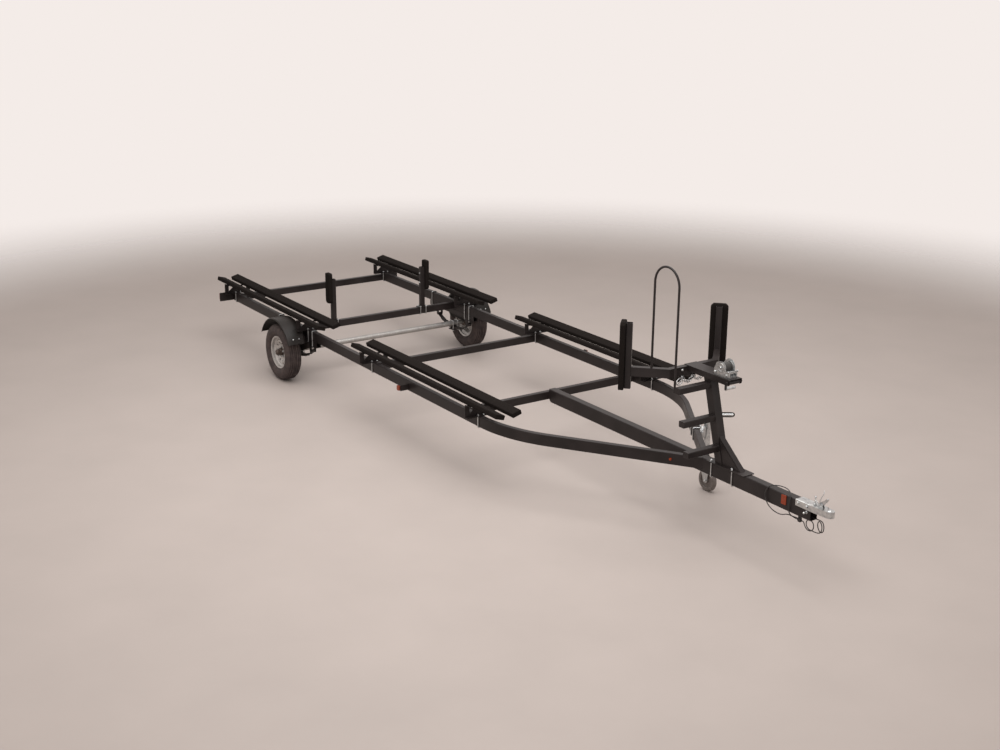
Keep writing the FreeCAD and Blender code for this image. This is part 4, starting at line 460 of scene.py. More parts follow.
def spring_paint(tree):
    """Black paint on rolled spring steel: duller than powder, with rust coming through."""
    rust = grain(tree, 30.0, 6.0)
    skin = grain(tree, 4.0, 3.0)
    return {"Base Color": (rust, "#1f1c1b", "#3a2c25", 0.5, 0.75),
            "Metallic": 0.2, "Roughness": (rust, 0.42, 0.7),
            "Relief": (skin, 0.2, 0.0005)}


def strap_webbing(tree):
    """Woven polyester strap, with its ribs across the width drawn 4 mm apart."""
    place = add(tree, "TexCoord").outputs["Object"]
    weave = add(tree, "TexWave", {"Vector": place, "Scale": bands_apart(4.0),
                                  "Distortion": 0.6},
                bands_direction="Y").outputs["Fac"]
    return {"Base Color": (weave, "#2b2927", "#4a4643", 0.2, 0.8),
            "Roughness": 0.85, "Relief": (weave, 0.5, 0.001), "Sheen Weight": 0.1}


def cable_jacket(tree):
    """Extruded PVC: a smooth satin skin with dust in patches."""
    dust = grain(tree, 40.0, 4.0)
    return {"Base Color": (dust, "#1c1918", "#2c2827"),
            "Roughness": (dust, 0.38, 0.55)}


def machined_steel(tree):
    """Machined and lightly oiled steel, darker than zinc."""
    turn = grain(tree, 2.5, 2.0, (1.0, 6.0, 1.0))
    return {"Base Color": (turn, "#4a3f3a", "#675b54"),
            "Metallic": 0.8, "Roughness": (turn, 0.35, 0.5)}


FINISHES = {}


def make_finishes():
    """Every finish of the trailer, by the record's own slot name."""
    for slot, name, build in (
        ("frame_paint", "black_powder_coat", powder_coat),
        ("carpet", "needle_punched_carpet", carpet),
        ("zinc", "bright_zinc_plate", zinc_plate),
        ("galvanised", "hot_dip_galvanising", hot_zinc),
        ("wheel_paint", "silver_wheel_enamel", wheel_enamel),
        ("tyre_rubber", "tyre_rubber", tyre_rubber),
        ("fender_plastic", "grained_polyethylene", fender_plastic),
        ("red_lens", "red_polycarbonate", lens("#5e0d0a", "#8f1712")),
        ("amber_lens", "amber_polycarbonate", lens("#6f2307", "#96380f")),
        ("spring_steel", "painted_spring_steel", spring_paint),
        ("webbing", "polyester_webbing", strap_webbing),
        ("cable_jacket", "pvc_jacket", cable_jacket),
        ("caster_plastic", "glass_filled_nylon", moulded_nylon),
        ("wheel_steel", "machined_steel", machined_steel),
    ):
        FINISHES[slot] = surface(name, build)


# Sizes and colours that a user would change


class TrailerStage(bpy.types.PropertyGroup):
    """Floor, lights and camera."""
    lens: bpy.props.FloatProperty(name="Lens", description="Focal length of the camera",
                                  default=50.34, unit="CAMERA")
    floor_colour: bpy.props.FloatVectorProperty(
        name="Floor", description="Colour of the studio floor", subtype="COLOR", size=3,
        default=linear("#ada29c")[:3])
    sky: bpy.props.FloatProperty(name="Sky", description="Strength of the soft light",
                                 default=0.62, min=0.0)
    key: bpy.props.FloatProperty(name="Key", description="Power of the overhead lamp",
                                 default=620.0, min=0.0, unit="POWER")


class TrailerSizes(bpy.types.PropertyGroup):
    """Sizes of the pieces that dress the frame."""
    tread_blocks: bpy.props.IntProperty(name="Tread blocks",
                                        description="Blocks round each rib of a tyre",
                                        default=64, min=12)
    carpet_ripple: bpy.props.FloatProperty(
        name="Carpet ripple", description="How far the carpet strays from a flat face",
        default=0.0012, unit="LENGTH")


# Stage


# The camera's pitch, roll and turn in degrees, and its place in millimetres
CAMERA_ANGLES = (-17.47849, 0.50957, 145.94711)
CAMERA_PLACE = (15096.06, -7408.36, 4650.55)


class TRAILER_OT_stage(bpy.types.Operator):
    """Adds the pale floor, the soft lights and the camera"""
    bl_idname = "trailer.stage"
    bl_label = "Stage"

    def execute(self, context):
        stage = context.scene.trailer_stage
        floor = start("circle", "studio_floor", vertices=128, radius=14.0, fill_type="NGON",
                      location=(0.5, 0.0, 0.0))
        settle(floor)
        floor.data.materials.append(self.floor_finish(stage))
        self.light_the_room(context, stage)
        self.place_camera(context, stage)
        return {"FINISHED"}

    def floor_finish(self, stage):
        """Painted concrete that fades into the pale background far from the trailer."""
        material = bpy.data.materials.new("painted_concrete")
        tree = bare_tree(material)
        tone = add(tree, "MapRange", {"Value": grain(tree, 900.0, 5.0), "To Min": 0.97,
                                      "To Max": 1.03, **NOISE_ENDS})
        colour = add(tree, "VectorMath", {0: list(stage.floor_colour),
                                          1: tone.outputs["Result"]}, operation="MULTIPLY")
        shader = add(tree, "BsdfPrincipled", {"Base Color": colour.outputs["Vector"],
                                              "Roughness": 0.55, "Specular IOR Level": 0.3})
        place = add(tree, "TexCoord").outputs["Object"]
        reach = add(tree, "VectorMath", {0: place}, operation="LENGTH")
        fade = add(tree, "MapRange", {"Value": reach.outputs["Value"], "From Min": 7.0,
                                      "From Max": 13.0, "To Min": 0.0, "To Max": 1.0},
                   interpolation_type="SMOOTHSTEP")
        clear = add(tree, "BsdfTransparent")
        mixed = add(tree, "MixShader", {"Fac": fade.outputs["Result"],
                                        1: shader.outputs["BSDF"], 2: clear.outputs["BSDF"]})
        add(tree, "OutputMaterial", {"Surface": mixed.outputs["Shader"]})
        return material

    def light_the_room(self, context, stage):
        """An even pale sky, a wide lamp overhead and a weaker one ahead of the coupler."""
        context.scene.world = bpy.data.worlds.new("studio_sky")
        tree = bare_tree(context.scene.world)
        soft = add(tree, "Background", {"Color": linear("#f2ebe6"), "Strength": stage.sky})
        pale = add(tree, "Background", {"Color": linear("#f4ece8"), "Strength": 1.0})
        path = add(tree, "LightPath").outputs
        seen = path["Is Camera Ray"]
        for ray in ("Is Glossy Ray", "Is Transmission Ray"):
            seen = add(tree, "Math", {0: seen, 1: path[ray]}, operation="MAXIMUM").outputs[0]
        mixed = add(tree, "MixShader", {"Fac": seen, 1: soft.outputs["Background"],
                                        2: pale.outputs["Background"]})
        add(tree, "OutputWorld", {"Surface": mixed.outputs["Shader"]})
        target = Vector((0.5, 0.0, 0.3))
        for name, place, share, width in (("overhead", Vector((1.0, -1.0, 7.0)), 1.0, 9.0),
                                          ("bow_side", Vector((10.0, -6.0, 6.0)), 0.35, 5.0)):
            data = bpy.data.lights.new(name, "AREA")
            data.energy = stage.key * share
            data.shape = "DISK"
            data.size = width
            lamp = bpy.data.objects.new(name, data)
            context.scene.collection.objects.link(lamp)
            lamp.rotation_euler = (target - place).to_track_quat("-Z", "Y").to_euler()
            lamp.location = place

    def place_camera(self, context, stage):
        """The photograph's view: from ahead of the trailer, on its right, and above."""
        pitch, roll, turn = (math.radians(a) for a in CAMERA_ANGLES)
        ahead = Vector((math.cos(pitch) * math.cos(turn), math.cos(pitch) * math.sin(turn),
                        math.sin(pitch)))
        right = ahead.cross(Vector(UP)).normalized()
        up = right.cross(ahead)
        level_right = right * math.cos(roll) + up * math.sin(roll)
        level_up = up * math.cos(roll) - right * math.sin(roll)
        data = bpy.data.cameras.new("photo_camera")
        data.sensor_width = 36.0
        data.lens = stage.lens
        data.clip_end = 200.0
        camera = bpy.data.objects.new("photo_camera", data)
        context.scene.collection.objects.link(camera)
        axes = Matrix((level_right, level_up, -ahead)).transposed().to_4x4()
        camera.matrix_world = Matrix.Translation(at(*CAMERA_PLACE)) @ axes
        context.scene.camera = camera
        context.scene.view_settings.view_transform = "Standard"


# Frame


class TRAILER_OT_finishes(bpy.types.Operator):
    """Gives every modelled part its finish"""
    bl_idname = "trailer.finishes"
    bl_label = "Finishes"

    def execute(self, context):
        make_finishes()
        slots = {part["node"]: part["material_slot"] for part in frame["record"]["subparts"]}
        for name, node in frame["nodes"].items():
            node.data.materials.clear()
            node.data.materials.append(FINISHES[slots[name]])
        return {"FINISHED"}


# Tyres


# Half of the tyre's section, from the bead to the middle of the tread, and the two corners
# of the side that sits on the rim, as places along the axle and radii in millimetres
TYRE_SECTION = [
    (54, 166), (55, 180), (62, 186), (76, 196), (80, 201), (80.5, 203), (84, 212), (87, 226),
    (87.4, 230), (88.4, 232), (88.4, 236), (87.4, 238), (86.5, 252), (83, 268), (78, 279),
    (76.5, 281), (76.5, 284), (73, 287), (66, 295), (61, 298.2), (60, 294), (56, 294), (55, 300),
    (37, 301.4), (36, 295), (31, 295), (30, 301.8), (12, 302), (11, 295.4), (6, 295.4), (5, 302)]
TYRE_INSIDE = [(-46, 165.6), (46, 165.6)]


class TRAILER_OT_tyres(bpy.types.Operator):
    """Makes both tyres: a spun section with ribs, and tread blocks raised from them"""
    bl_idname = "trailer.tyres"
    bl_label = "Tyres"

    def execute(self, context):
        master = self.tyre(context.scene.trailer_sizes.tread_blocks)
        for name, side in SIDES.items():
            fit(master, "tyre_with_tread_" + name,
                [Matrix.Translation(at(AXLE_X, side * WHEEL_Y, AXLE_Z))],
                "tyre_rubber", "wheel_" + name, "tyre_" + name)
        drop(master)
        return {"FINISHED"}

    def tyre(self, count):
        """The whole tyre about the origin, turning on Y. The faces of its ribs are inset and
        raised as blocks, with grooves between them."""
        loop = TYRE_SECTION + [(-y, r) for y, r in reversed(TYRE_SECTION)] + TYRE_INSIDE
        ring = spun("tyre_master", [(r, y) for y, r in loop], count * 2, (0, 1, 0))
        low, high = 0.2985, 0.3025
        with editing(ring):
            pick(ring, lambda face: low < math.hypot(*face.calc_center_median().xz) < high
                 and abs(face.normal.y) < 0.3)
            bpy.ops.mesh.inset(thickness=0.0016, use_individual=True)
            bpy.ops.transform.shrink_fatten(value=0.0036)
        smooth(ring, 32)
        return ring


# Carpeted boards


def ripple(piece, depth, reach=0.06):
    """Moves every vertex a little inwards, as carpet lies on a board, in waves about as
    long as the reach and in finer ones."""
    for vertex in piece.data.vertices:
        wave = noise.noise(vertex.co / reach)
        fine = noise.noise(vertex.co / (reach * 0.22))
        vertex.co -= vertex.normal * depth * (0.5 + 0.5 * wave + 0.35 * abs(fine))


def cut_across(piece, axis, low, high, count):
    """Cuts the long faces into equal stretches along an axis, so that carpet can ripple."""
    with editing(piece):
        for i in range(1, count):
            bpy.ops.mesh.select_all(action="SELECT")
            bpy.ops.mesh.bisect(plane_co=Vector(axis) * (low + (high - low) * i / count),
                                plane_no=axis)


class TRAILER_OT_bunk_carpets(bpy.types.Operator):
    """Wraps each bunk board in carpet, folded in at both ends"""
    bl_idname = "trailer.bunk_carpets"
    bl_label = "Bunk carpets"

    def execute(self, context):
        wide, thick, length = 97.0, 46.0, 2620.0
        # How far from its rail and how high the board's outer top edge lies
        edge, crest = 127, 750
        reach = edge - wide / 2 * math.cos(BUNK_TILT) + thick / 2 * math.sin(BUNK_TILT)
        height = crest - wide / 2 * math.sin(BUNK_TILT) - thick / 2 * math.cos(BUNK_TILT)
        for end, first in (("rear", -215.0), ("front", 3130.0)):
            for name, side in SIDES.items():
                for part, way in (("outer", side), ("inner", -side)):
                    board = self.board("bunk_%s_%s_%s" % (end, name, part), length, wide, thick)
                    middle = at(first + length / 2, side * RAIL_Y + way * reach, height)
                    board.data.transform(Matrix.Translation(middle)
                                         @ Matrix.Rotation(way * BUNK_TILT, 4, "X"))
                    board.data.update()
                    ripple(board, context.scene.trailer_sizes.carpet_ripple)
                    smooth(board, 60)
                    dress(board, "carpet", "frame", "bunks_%s_%s" % (end, name))
        return {"FINISHED"}

    def board(self, name, length, wide, thick):
        """A long board with soft edges and a tuck at each end."""
        board = start("cube", name, size=1.0)
        board.scale = (length / 1000, wide / 1000, thick / 1000)
        settle(board)
        with editing(board):
            pick(board, lambda face: abs(face.normal.x) > 0.9)
            bpy.ops.mesh.inset(thickness=0.013)
        self.tuck(board, length / 2000, wide / 2000)
        apply_modifier(board, "BEVEL", width=0.009, segments=3, limit_method="ANGLE")
        cut_across(board, AHEAD, -length / 2000, length / 2000, 96)
        return board

    def tuck(self, board, half_length, half_width):
        """Pulls the middle of each end face inwards, where the carpet is folded over."""
        for vertex in board.data.vertices:
            inner = abs(abs(vertex.co.y) - half_width) > 0.005
            if inner and abs(vertex.co.x) > half_length - 0.001:
                vertex.co.x *= 1 - 0.004 / half_length


class TRAILER_OT_guide_carpets(bpy.types.Operator):
    """Wraps the boards of the rear and the front guides in carpet"""
    bl_idname = "trailer.guide_carpets"
    bl_label = "Guide carpets"

    def execute(self, context):
        for name in SIDES:
            for end in ("rear", "front"):
                node = "%s_guide_pad_%s" % (end, name)
                carpet = copy_of(frame["nodes"][node], "%s_guide_carpet_%s" % (end, name),
                                 Matrix.Identity(4))
                self.soften(carpet)
                ripple(carpet, context.scene.trailer_sizes.carpet_ripple)
                smooth(carpet, 60)
                dress(carpet, "carpet", "frame", node)
        return {"FINISHED"}

    def soften(self, pad):
        """Rounds the edges of the board and cuts its faces finely."""
        outward(pad)
        with editing(pad, "EDGE", "SELECT"):
            bpy.ops.mesh.dissolve_limited(angle_limit=math.radians(2))
        apply_modifier(pad, "BEVEL", width=0.008, segments=3, limit_method="ANGLE")
        heights = [vertex.co.z for vertex in pad.data.vertices]
        cut_across(pad, UP, min(heights), max(heights), 24)


# Cables


# Routes from the clip under the tongue, in metres with X counted from the clip
WRAPPED_LENGTH = 0.954
WRAPPED_ROUTE = [
    (-0.0143, -0.0070, 0.4176), (-0.0483, -0.0070, 0.4176), (-0.0763, -0.0381, 0.4476),
    (-0.0763, -0.0521, 0.5016), (-0.0643, -0.0461, 0.6026), (-0.1123, -0.0060, 0.6126),
    (-0.1803, 0.0140, 0.6186), (-0.2553, -0.0040, 0.6166), (-0.3053, -0.0381, 0.6026),
    (-0.3303, -0.0521, 0.5506), (-0.3253, -0.0521, 0.4896), (-0.2803, -0.0501, 0.4396),
    (-0.2203, -0.0441, 0.4146), (-0.1703, -0.0240, 0.4036), (-0.1243, -0.0080, 0.4236),
    (-0.0843, 0.0090, 0.4146), (-0.0483, 0.0070, 0.4196), (-0.0143, 0.0070, 0.4196)]
COILED_LENGTH = 1.004
COIL_RADIUS = 0.042


def coil(centre, across, drift, first, count):
    """Corners of a hanging coil, an eighth of a turn from one to the next, in metres."""
    reach = COIL_RADIUS / math.cos(math.pi / 8)
    corners = []
    for i in range(count):
        turn = math.radians(first + 45.0 * i)
        corners.append([centre[k] + across[k] * reach * math.sin(turn)
                        - (0.0, 0.0, reach)[k] * math.cos(turn) + drift[k] * i
                        for k in range(3)])
    return corners


class TRAILER_OT_lamp_cables(bpy.types.Operator):
    """Lays the lamp cable: one length thrown over the tongue, one coiled below its end"""
    bl_idname = "trailer.lamp_cables"
    bl_label = "Lamp cables"

    def execute(self, context):
        clip_x, radius = at(8230, 0, 0).x, 0.004
        hung = [(0.0143, 0.0, 0.4196), (0.0413, 0.0, 0.4196)]
        hung += coil((0.1063, -0.011, 0.4116), (1, 0, 0), (0, 0.002, 0), -67.5, 11)
        hung += [(0.1683, 0.004, 0.3716)]
        hung += coil((0.2023, -0.006, 0.4316), (0.94, -0.34, 0), (0.00068, 0.00188, 0), 22.5, 13)
        hung += [(0.1300, 0.014, 0.4757), (0.0800, 0.012, 0.4707)]
        for name, route, length, lay in (("wrapped", WRAPPED_ROUTE, WRAPPED_LENGTH, "loose"),
                                         ("coiled", hung, COILED_LENGTH, "coiled")):
            places = [(clip_x + x, y, z) for x, y, z in route]
            cable = line_of("lamp_cable_" + name, places, radius, 3, 8)
            dress(cable, "cable_jacket", "frame", "cable_" + name)
        return {"FINISHED"}


# Bolts and nuts


class TRAILER_OT_frame_nuts(bpy.types.Operator):
    """Puts a washer and a nut on every leg of the frame's U-bolts, and heads on its bolts"""
    bl_idname = "trailer.frame_nuts"
    bl_label = "Frame nuts"

    def execute(self, context):
        nut = fastener("u_bolt_nut", 17, 7)
        for name, places in self.groups().items():
            self.put(nut, name, places)
        tall = fastener("stand_nut", 20, 12, 5)
        self.put(tall, "winch_stand_nuts",
                 [((x, y, PLATE_TOP), UP) for x in (7270, 7512) for y in (43.4, -43.4)])
        head = fastener("lag_bolt_head", 13, 5, 2)
        self.put(head, "fender_bolts", self.fender_places())
        self.put(head, "bunk_bolts", self.bunk_places())
        self.put(head, "guide_board_bolts",
                 [((GUIDE_X, side * 541.6, z), (0, -side, 0)) for side in WAYS
                  for z in (850, 960)])
        drop(nut, tall, head)
        return {"FINISHED"}

    def put(self, master, name, places):
        """Sets copies at places in millimetres, each turned a little on from the last."""
        fit(master, name, [facing(place, axis, 23 * i)
                           for i, (place, axis) in enumerate(places)])

    def groups(self):
        """Where each group of nuts sits on its plate, in millimetres, and which way it looks."""
        legs = [side * RAIL_Y + way * 30.7 for side in WAYS for way in WAYS]
        return {
            "rail_bolt_nuts": [((x, y, PLATE_TOP), UP) for x in BRACKET_X for y in legs],
            "hanger_bolt_nuts": [((x, y, 421), DOWN) for x in (1250, 2060) for y in legs],
            "axle_bolt_nuts": [((AXLE_X + 35.3 * run, side * RAIL_Y + 31.5 * way, 234), DOWN)
                               for side in WAYS for way in WAYS for run in WAYS],
            "guide_bolt_nuts": [((GUIDE_X + 30.7 * run, side * 567 + 35.4 * way, 569.2), UP)
                                for side in WAYS for way in WAYS for run in WAYS],
            "jack_bolt_nuts": [((x, y, 537.8 + 56.1 * way), OFF_RAIL)
                               for x, y in ((6513.9, 491.6), (6616.3, 421.7)) for way in WAYS],
        }

    def fender_places(self):
        """On the fender's front face, where its bracket is bolted on."""
        lean, reach = math.radians(33.5), 383
        out = (math.cos(lean), 0, math.sin(lean))
        return [((AXLE_X + reach * out[0], side * y, AXLE_Z + reach * out[2]), out)
                for side in WAYS for y in (1156, 1224)]

    def bunk_places(self):
        """Under each bracket's ears, up into the boards."""
        normal = {way: Vector((0, -way * math.sin(BUNK_TILT), math.cos(BUNK_TILT)))
                  for way in WAYS}
        return [(Vector((x, side * RAIL_Y + way * 86.7, 714.5)) - normal[way] * 29, -normal[way])
                for x in BRACKET_X for side in WAYS for way in WAYS]


class TRAILER_OT_wheel_details(bpy.types.Operator):
    """Adds the wheel nuts, the hub's dust cap and the valve to both wheels"""
    bl_idname = "trailer.wheel_details"
    bl_label = "Wheel details"

    def execute(self, context):
        nut = fastener("wheel_nut_master", 19, 15, 7)
        cap = turned("dust_cap_master", [(0, -1), (26, -1), (29, 1), (29, 4), (26.5, 5.5),
                                         (25, 10), (20, 13.5), (10, 15), (0, 15.2)], 40)
        plug = turned("cap_plug_master", [(0, 14), (6, 14), (6, 16.2), (4.5, 17), (0, 17)], 20)
        valve = turned("valve_master", [(0, -6), (8, -6), (8, 0), (5.5, 2), (5, 16), (5.6, 17),
                                        (5.6, 26), (4.6, 28), (0, 28)], 16)
        stud_circle, face, hub_end = 57.15, 1211, 1270
        studs = [math.tau * i / 5 + math.pi / 2 for i in range(5)]
        for name, side in SIDES.items():
            out, body = (0, side, 0), "wheel_" + name
            fit(nut, "wheel_nuts_" + name,
                [facing(self.on_wheel(stud_circle, turn, side * face), out, 17 * i)
                 for i, turn in enumerate(studs)], "zinc", body)
            end = facing((AXLE_X, side * hub_end, AXLE_Z), out)
            fit(cap, "dust_cap_" + name, [end], "wheel_steel", body)
            fit(plug, "cap_plug_" + name, [end], "zinc", body)
            stem = facing(self.on_wheel(140, math.radians(54), side * 1226), out)
            fit(valve, "valve_" + name, [stem], "tyre_rubber", body)
        drop(nut, cap, plug, valve)
        return {"FINISHED"}

    def on_wheel(self, radius, turn, y):
        """A place on a circle round the axle, in millimetres."""
        return AXLE_X + radius * math.cos(turn), y, AXLE_Z + radius * math.sin(turn)


# Winch


class TRAILER_OT_winch_details(bpy.types.Operator):
    """Adds pressed rings, shaft nuts, a tie bar and the base's bolts to the winch"""
    bl_idname = "trailer.winch_details"
    bl_label = "Winch details"

    def execute(self, context):
        bead = turned("bead_master", [(26, -1), (27, 1.6), (29.5, 2.6), (35, 2.6), (37.5, 1.6),
                                      (38.5, -1)], 40)
        cheek, shaft_end, base_top, tie_x, tie_z = 44.6, 46.5, 1333, 7409, 1384
        fit(bead, "winch_cheek_rings", [facing((DRUM[0], -cheek, DRUM[1]), RIGHT)])
        nut = fastener("shaft_nut_master", 19, 6, 2)
        for name, (x, z), body in (("drum_shaft_nut", DRUM, "winch_spool"),
                                   ("crank_shaft_nut", PINION, "winch_handle")):
            fit(nut, name, [facing((x, -shaft_end, z), RIGHT)], "zinc", body)
        bolt = fastener("winch_bolt_master", 13, 6)
        fit(bolt, "winch_bolts", [facing((7398, y, base_top), UP) for y in (-30, 30)]
            + self.on_sides(7385, 45, 1352))
        dress(rod("winch_tie_bar", [(tie_x, y, tie_z) for y in (-52, 0, 52)], 4.5), "zinc")
        knob = turned("knob_master", [(0, -2), (7, -2), (9, 0), (9, 5), (7, 7), (0, 7.5)], 20)
        fit(knob, "winch_tie_ends", self.on_sides(tie_x, 47, tie_z))
        sleeve = turned("roller_nut_master", [(0, -1), (12, -1), (12, 3), (10, 5), (0, 5.5)], 24)
        fit(sleeve, "roller_bolt_ends", self.on_sides(7427.5, 75, 1302.5), "frame_paint")
        drop(bead, nut, bolt, knob, sleeve)
        return {"FINISHED"}

    def on_sides(self, x, y, z):
        """The same place on both sides of the winch, looking outwards."""
        return [facing((x, side * y, z), (0, side, 0)) for side in WAYS]


class TRAILER_OT_bow_chain(bpy.types.Operator):
    """Hangs the bow's safety chain and its snap hook below the crossbar"""
    bl_idname = "trailer.bow_chain"
    bl_label = "Bow chain"

    def execute(self, context):
        oval = [(17 * x, 0, 11 * z)
                for x, z in ((-1.0, 0.9), (-0.45, 1.1), (0.45, 1.1), (1.0, 0.9),
                             (1.0, -0.9), (0.45, -1.1), (-0.45, -1.1), (-1.0, -0.9))]
        link = rod("chain_link_master", oval, 3.4, True)
        link.data.transform(Matrix.Translation(-at(0, 0, 0)))
        left, middle, right = EYES_Y
        fit(link, "bow_chain", self.links(left, middle, 36) + self.links(middle, right, 40))
        bend = ((0, -134, 1234), (0, -122, 1218), (-2, -134, 1190), (-2, -162, 1176),
                (0, -190, 1186), (2, -194, 1212), (0, -170, 1236))
        across = ((0, -136, 1226), (0, -158, 1206), (1, -180, 1190))
        hook = rod("snap_hook", [(CHAIN_X + run, y, z) for run, y, z in bend], 5.2, True)
        gate = rod("hook_gate", [(CHAIN_X + run, y, z) for run, y, z in across], 3.6)
        dress(join([hook, gate], "bow_snap_hook"), "zinc")
        eye = rod("chain_eye_master", [(6962, 0, 1252), (6966, -9, 1246), (6966, -8, 1236),
                                       (6966, 8, 1236), (6966, 9, 1246), (6962, 0, 1252)], 3.0)
        fit(eye, "chain_eyes", [Matrix.Translation((0, y / 1000, 0)) for y in EYES_Y])
        head = fastener("chain_bolt_master", 17, 7, 3)
        fit(head, "crossbar_bolts", [facing((6960.4, y, 1300), AHEAD, 10 * i)
                                     for i, y in enumerate((98, -38, -130))])
        drop(link, eye, head)
        return {"FINISHED"}

    def links(self, first, last, sag):
        """Places of links along a hanging curve, each a quarter turn from the one before."""
        steps, height, pitch = 64, 1238.0, 25.0
        run = [Vector((CHAIN_X, first + (last - first) * i / steps,
                       height - 4 * sag * (i / steps) * (1 - i / steps)))
               for i in range(steps + 1)]
        spots, walked, need = [], 0.0, 9.0
        for before, after in zip(run, run[1:]):
            step = (after - before).length
            while walked + step >= need:
                place = before.lerp(after, (need - walked) / step)
                along = (after - before).normalized()
                turn = Vector(AHEAD).rotation_difference(along).to_matrix().to_4x4()
                roll = Matrix.Rotation(math.radians(90 * (len(spots) % 2) + 20), 4, "X")
                spots.append(Matrix.Translation(at(*place)) @ turn @ roll)
                need += pitch
            walked += step
        return spots


# Jack


class TRAILER_OT_jack_details(bpy.types.Operator):
    """Adds the jack's ring grip, its cap bolt, a lock pin and the caster's axle nuts"""
    bl_idname = "trailer.jack_details"
    bl_label = "Jack details"

    def execute(self, context):
        middle = JACK + ALONG_RAIL * 122 + OFF_RAIL * 141 + Vector((0, 0, 738))
        loop = [middle + OFF_RAIL * run + Vector((0, 0, rise))
                for run, rise in ((-60, 9), (-46, 17), (0, 17), (46, 17), (62, 9),
                                  (62, -9), (46, -17), (0, -17), (-46, -17), (-60, -9))]
        dress(rod("jack_ring_grip", loop, 6.5, True, 3), "fender_plastic", "jack_swivel")
        nut = fastener("jack_nut_master", 17, 8, 3)
        shaft = JACK + OFF_RAIL * 79.5 + Vector((0, 0, 606))
        top = JACK + Vector((0, 0, 638))
        fit(nut, "jack_nuts", [facing(shaft, OFF_RAIL), facing(top, UP)], "zinc",
            "jack_swivel")
        pin = JACK - OFF_RAIL * 40 + Vector((0, 0, 538))
        pull = [pin + ALONG_RAIL * run + Vector((0, 0, rise))
                for run, rise in ((44, 34), (62, 36), (70, 52), (58, 66))]
        dress(rod("jack_lock_pin", pull, 4), "zinc", "jack_swivel")
        small = fastener("caster_nut_master", 15, 6)
        trail, axle_end, axle_z = 38, 36.5, 101.6
        fit(small, "caster_axle_nuts",
            [facing((JACK.x + trail, JACK.y + side * axle_end, axle_z), (0, side, 0))
             for side in WAYS], "zinc", "caster_swivel")
        drop(nut, small)
        return {"FINISHED"}


# Coupler


class TRAILER_OT_coupler_details(bpy.types.Operator):
    """Adds the coupler's bolts, its knob, its wire lever, a ring and a ball-ended pin"""
    bl_idname = "trailer.coupler_details"
    bl_label = "Coupler details"

    def execute(self, context):
        pin_x, pin_z, latch_x, top_z = 8325, 522, 8372, 598.6
        bolt = fastener("coupler_bolt_master", 17, 8)
        fit(bolt, "coupler_bolts", [facing((x, side * 43.1, 570), (0, side, 0), 11)
                                    for x in (8240, 8330) for side in WAYS])
        arc = [math.pi * i / 10 for i in range(11)]
        ball = turned("pin_ball_master", [(9 * math.sin(a), -9 * math.cos(a)) for a in arc], 20)
        places = [facing((pin_x, -64, pin_z), RIGHT), facing((latch_x, 0, 655), UP)]
        stem = rod("stem", [(latch_x, 0, z) for z in (596, 625, 655)], 5)
        pin = rod("pin", [(pin_x, y, pin_z) for y in (-36, -50, -64)], 5.5)
        balls = [copy_of(ball, "ball", place) for place in places]
        dress(join(balls + [stem, pin], "coupler_pins"), "zinc")
        lever = rod("coupler_wire_lever", [(8434, -14, 621), (8434, -21, 626), (8436, -21, 652),
                                           (8448, -14, 686), (8458, -4, 712), (8446, 2, 732)],
                    3)
        ring = rod("coupler_ring", [(8372, -8, 640), (8392, -20, 634), (8408, -14, 622),
                                    (8400, 2, 616), (8380, 6, 626)], 2, True)
        dress(join([lever, ring], "coupler_wires"), "zinc")
        collar = turned("pin_collar_master", [(8, -1), (13, -1), (13, 3), (11, 5), (8, 5)], 24)
        fit(collar, "coupler_collars", [facing((pin_x, -38.1, pin_z), RIGHT),
                                        facing((latch_x, 0, top_z), UP)])
        rivet = turned("rivet_master", [(0, -1), (5, -1), (5, 1.2), (3.6, 1.8), (0, 1.2)], 16)
        fit(rivet, "coupler_rivets", [facing((8480, y, top_z), UP) for y in (-26, 26)],
            "wheel_steel")
        drop(bolt, ball, collar, rivet)
        return {"FINISHED"}


# Lamps


class TRAILER_OT_tail_lamps(bpy.types.Operator):
    """Makes the tail lamps: a black housing with a ribbed red lens that looks back"""
    bl_idname = "trailer.tail_lamps"
    bl_label = "Tail lamps"

    def execute(self, context):
        for name, side in SIDES.items():
            y = side * LAMP_Y
            box = block("tail_lamp_housing_" + name, (20, 163, 85), (-11, y, LAMP_Z), 7)
            dress(box, "fender_plastic", "frame", "tail_lamps")
            glass = block("tail_lamp_lens_" + name, (24, 157, 79), (-32.5, y, LAMP_Z), 6)
            with editing(glass):
                pick(glass, lambda face: face.normal.x < -0.95)
                bpy.ops.mesh.inset(thickness=0.006)
                bpy.ops.mesh.inset(thickness=0.002, depth=-0.0015)
            dress(glass, "red_lens", "frame", "tail_lamps")
        return {"FINISHED"}


# Welds


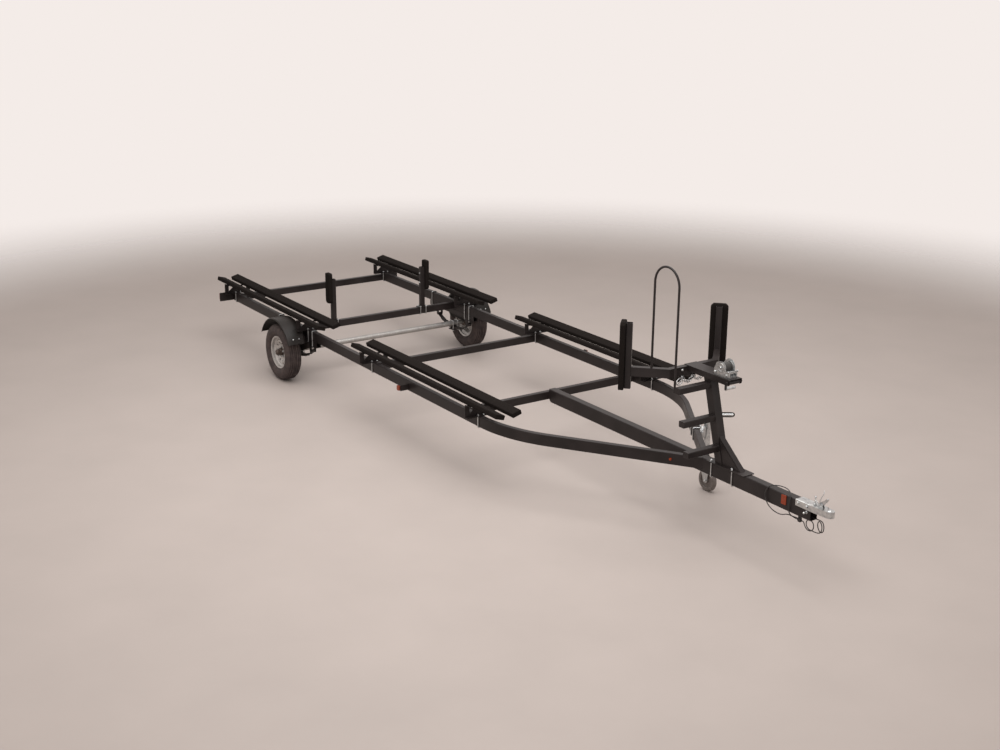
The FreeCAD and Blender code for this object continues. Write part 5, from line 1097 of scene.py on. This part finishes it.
class TRAILER_OT_weld_beads(bpy.types.Operator):
    """Runs a weld bead along the joints of the crossmembers and the winch stand"""
    bl_idname = "trailer.weld_beads"
    bl_label = "Weld beads"

    def execute(self, context):
        master = self.bead("weld_master", 100.0)
        runs, tube, post_side, step_depth, step_height = [], 50.8, -38.1, 64, 51
        rail_side, bottom_z, shoulder_z, top_z = 969.2, 489.0, 561.0, 563.2
        # Each crossmember meets each rail with two upright beads and one across its top
        for x in CROSSMEMBER_X:
            for side in WAYS:
                y = side * rail_side
                for edge in (0.0, tube):
                    runs.append(((x + edge, y, bottom_z), (x + edge, y, shoulder_z)))
                runs.append(((x + 2, y, top_z), (x + tube - 2, y, top_z)))
        # Each step meets the post's right side along its top and up its front
        for low, rear in ((697.0, 7281.1), (936.0, 7215.3), (1195.0, 7143.9)):
            front, top = rear + step_depth, low + step_height
            runs.append(((rear + 3, post_side, top), (front - 3, post_side, top)))
            runs.append(((front, post_side, low + 3), (front, post_side, top - 3)))
        fit(master, "weld_beads", [self.laid(*run) for run in runs], "frame_paint")
        drop(master)
        return {"FINISHED"}

    def bead(self, name, length):
        """A bead along X whose radius swells at every stride of the torch."""
        bead = start("cylinder", name, vertices=8, radius=0.0032, depth=length / 1000,
                     rotation=(0, math.pi / 2, 0), location=(length / 2000, 0, 0))
        settle(bead)
        cut_across(bead, AHEAD, 0.0, length / 1000, 24)
        for vertex in bead.data.vertices:
            swell = 1.0 if round(vertex.co.x / length * 24000) % 2 else 0.72
            vertex.co.y *= swell
            vertex.co.z *= swell
        smooth(bead, 60)
        return bead

    def laid(self, first, last):
        """The matrix that lays the bead from one place to another."""
        begin = at(*first)
        line = at(*last) - begin
        turn = Vector(AHEAD).rotation_difference(line).to_matrix().to_4x4()
        return Matrix.Translation(begin) @ turn @ Matrix.Diagonal((line.length / 0.1, 1, 1, 1))


# Panel and registration


class TRAILER_PT_panel(bpy.types.Panel):
    """Lists the trailer's pieces"""
    bl_label = "Trailer"
    bl_idname = "TRAILER_PT_panel"
    bl_space_type = "VIEW_3D"
    bl_region_type = "UI"
    bl_category = "Trailer"

    def draw(self, context):
        column = self.layout.column()
        column.prop(context.scene.trailer_stage, "lens")
        column.prop(context.scene.trailer_sizes, "tread_blocks")
        for operator in STEPS:
            column.operator(operator.bl_idname)


STEPS = (TRAILER_OT_stage, TRAILER_OT_finishes, TRAILER_OT_lamp_cables, TRAILER_OT_tyres,
         TRAILER_OT_bunk_carpets, TRAILER_OT_guide_carpets, TRAILER_OT_frame_nuts,
         TRAILER_OT_wheel_details, TRAILER_OT_winch_details, TRAILER_OT_bow_chain,
         TRAILER_OT_jack_details, TRAILER_OT_coupler_details, TRAILER_OT_tail_lamps,
         TRAILER_OT_weld_beads)
CLASSES = (TrailerStage, TrailerSizes) + STEPS + (TRAILER_PT_panel,)


def register():
    for kind in CLASSES:
        bpy.utils.register_class(kind)
    bpy.types.Scene.trailer_stage = bpy.props.PointerProperty(type=TrailerStage)
    bpy.types.Scene.trailer_sizes = bpy.props.PointerProperty(type=TrailerSizes)


def unregister():
    del bpy.types.Scene.trailer_sizes
    del bpy.types.Scene.trailer_stage
    for kind in reversed(CLASSES):
        bpy.utils.unregister_class(kind)


def main():
    """Dresses the trailer, one step after another."""
    register()
    for operator in STEPS:
        group, action = operator.bl_idname.split(".")
        getattr(getattr(bpy.ops, group), action)()


if __name__ == "__main__":
    main()
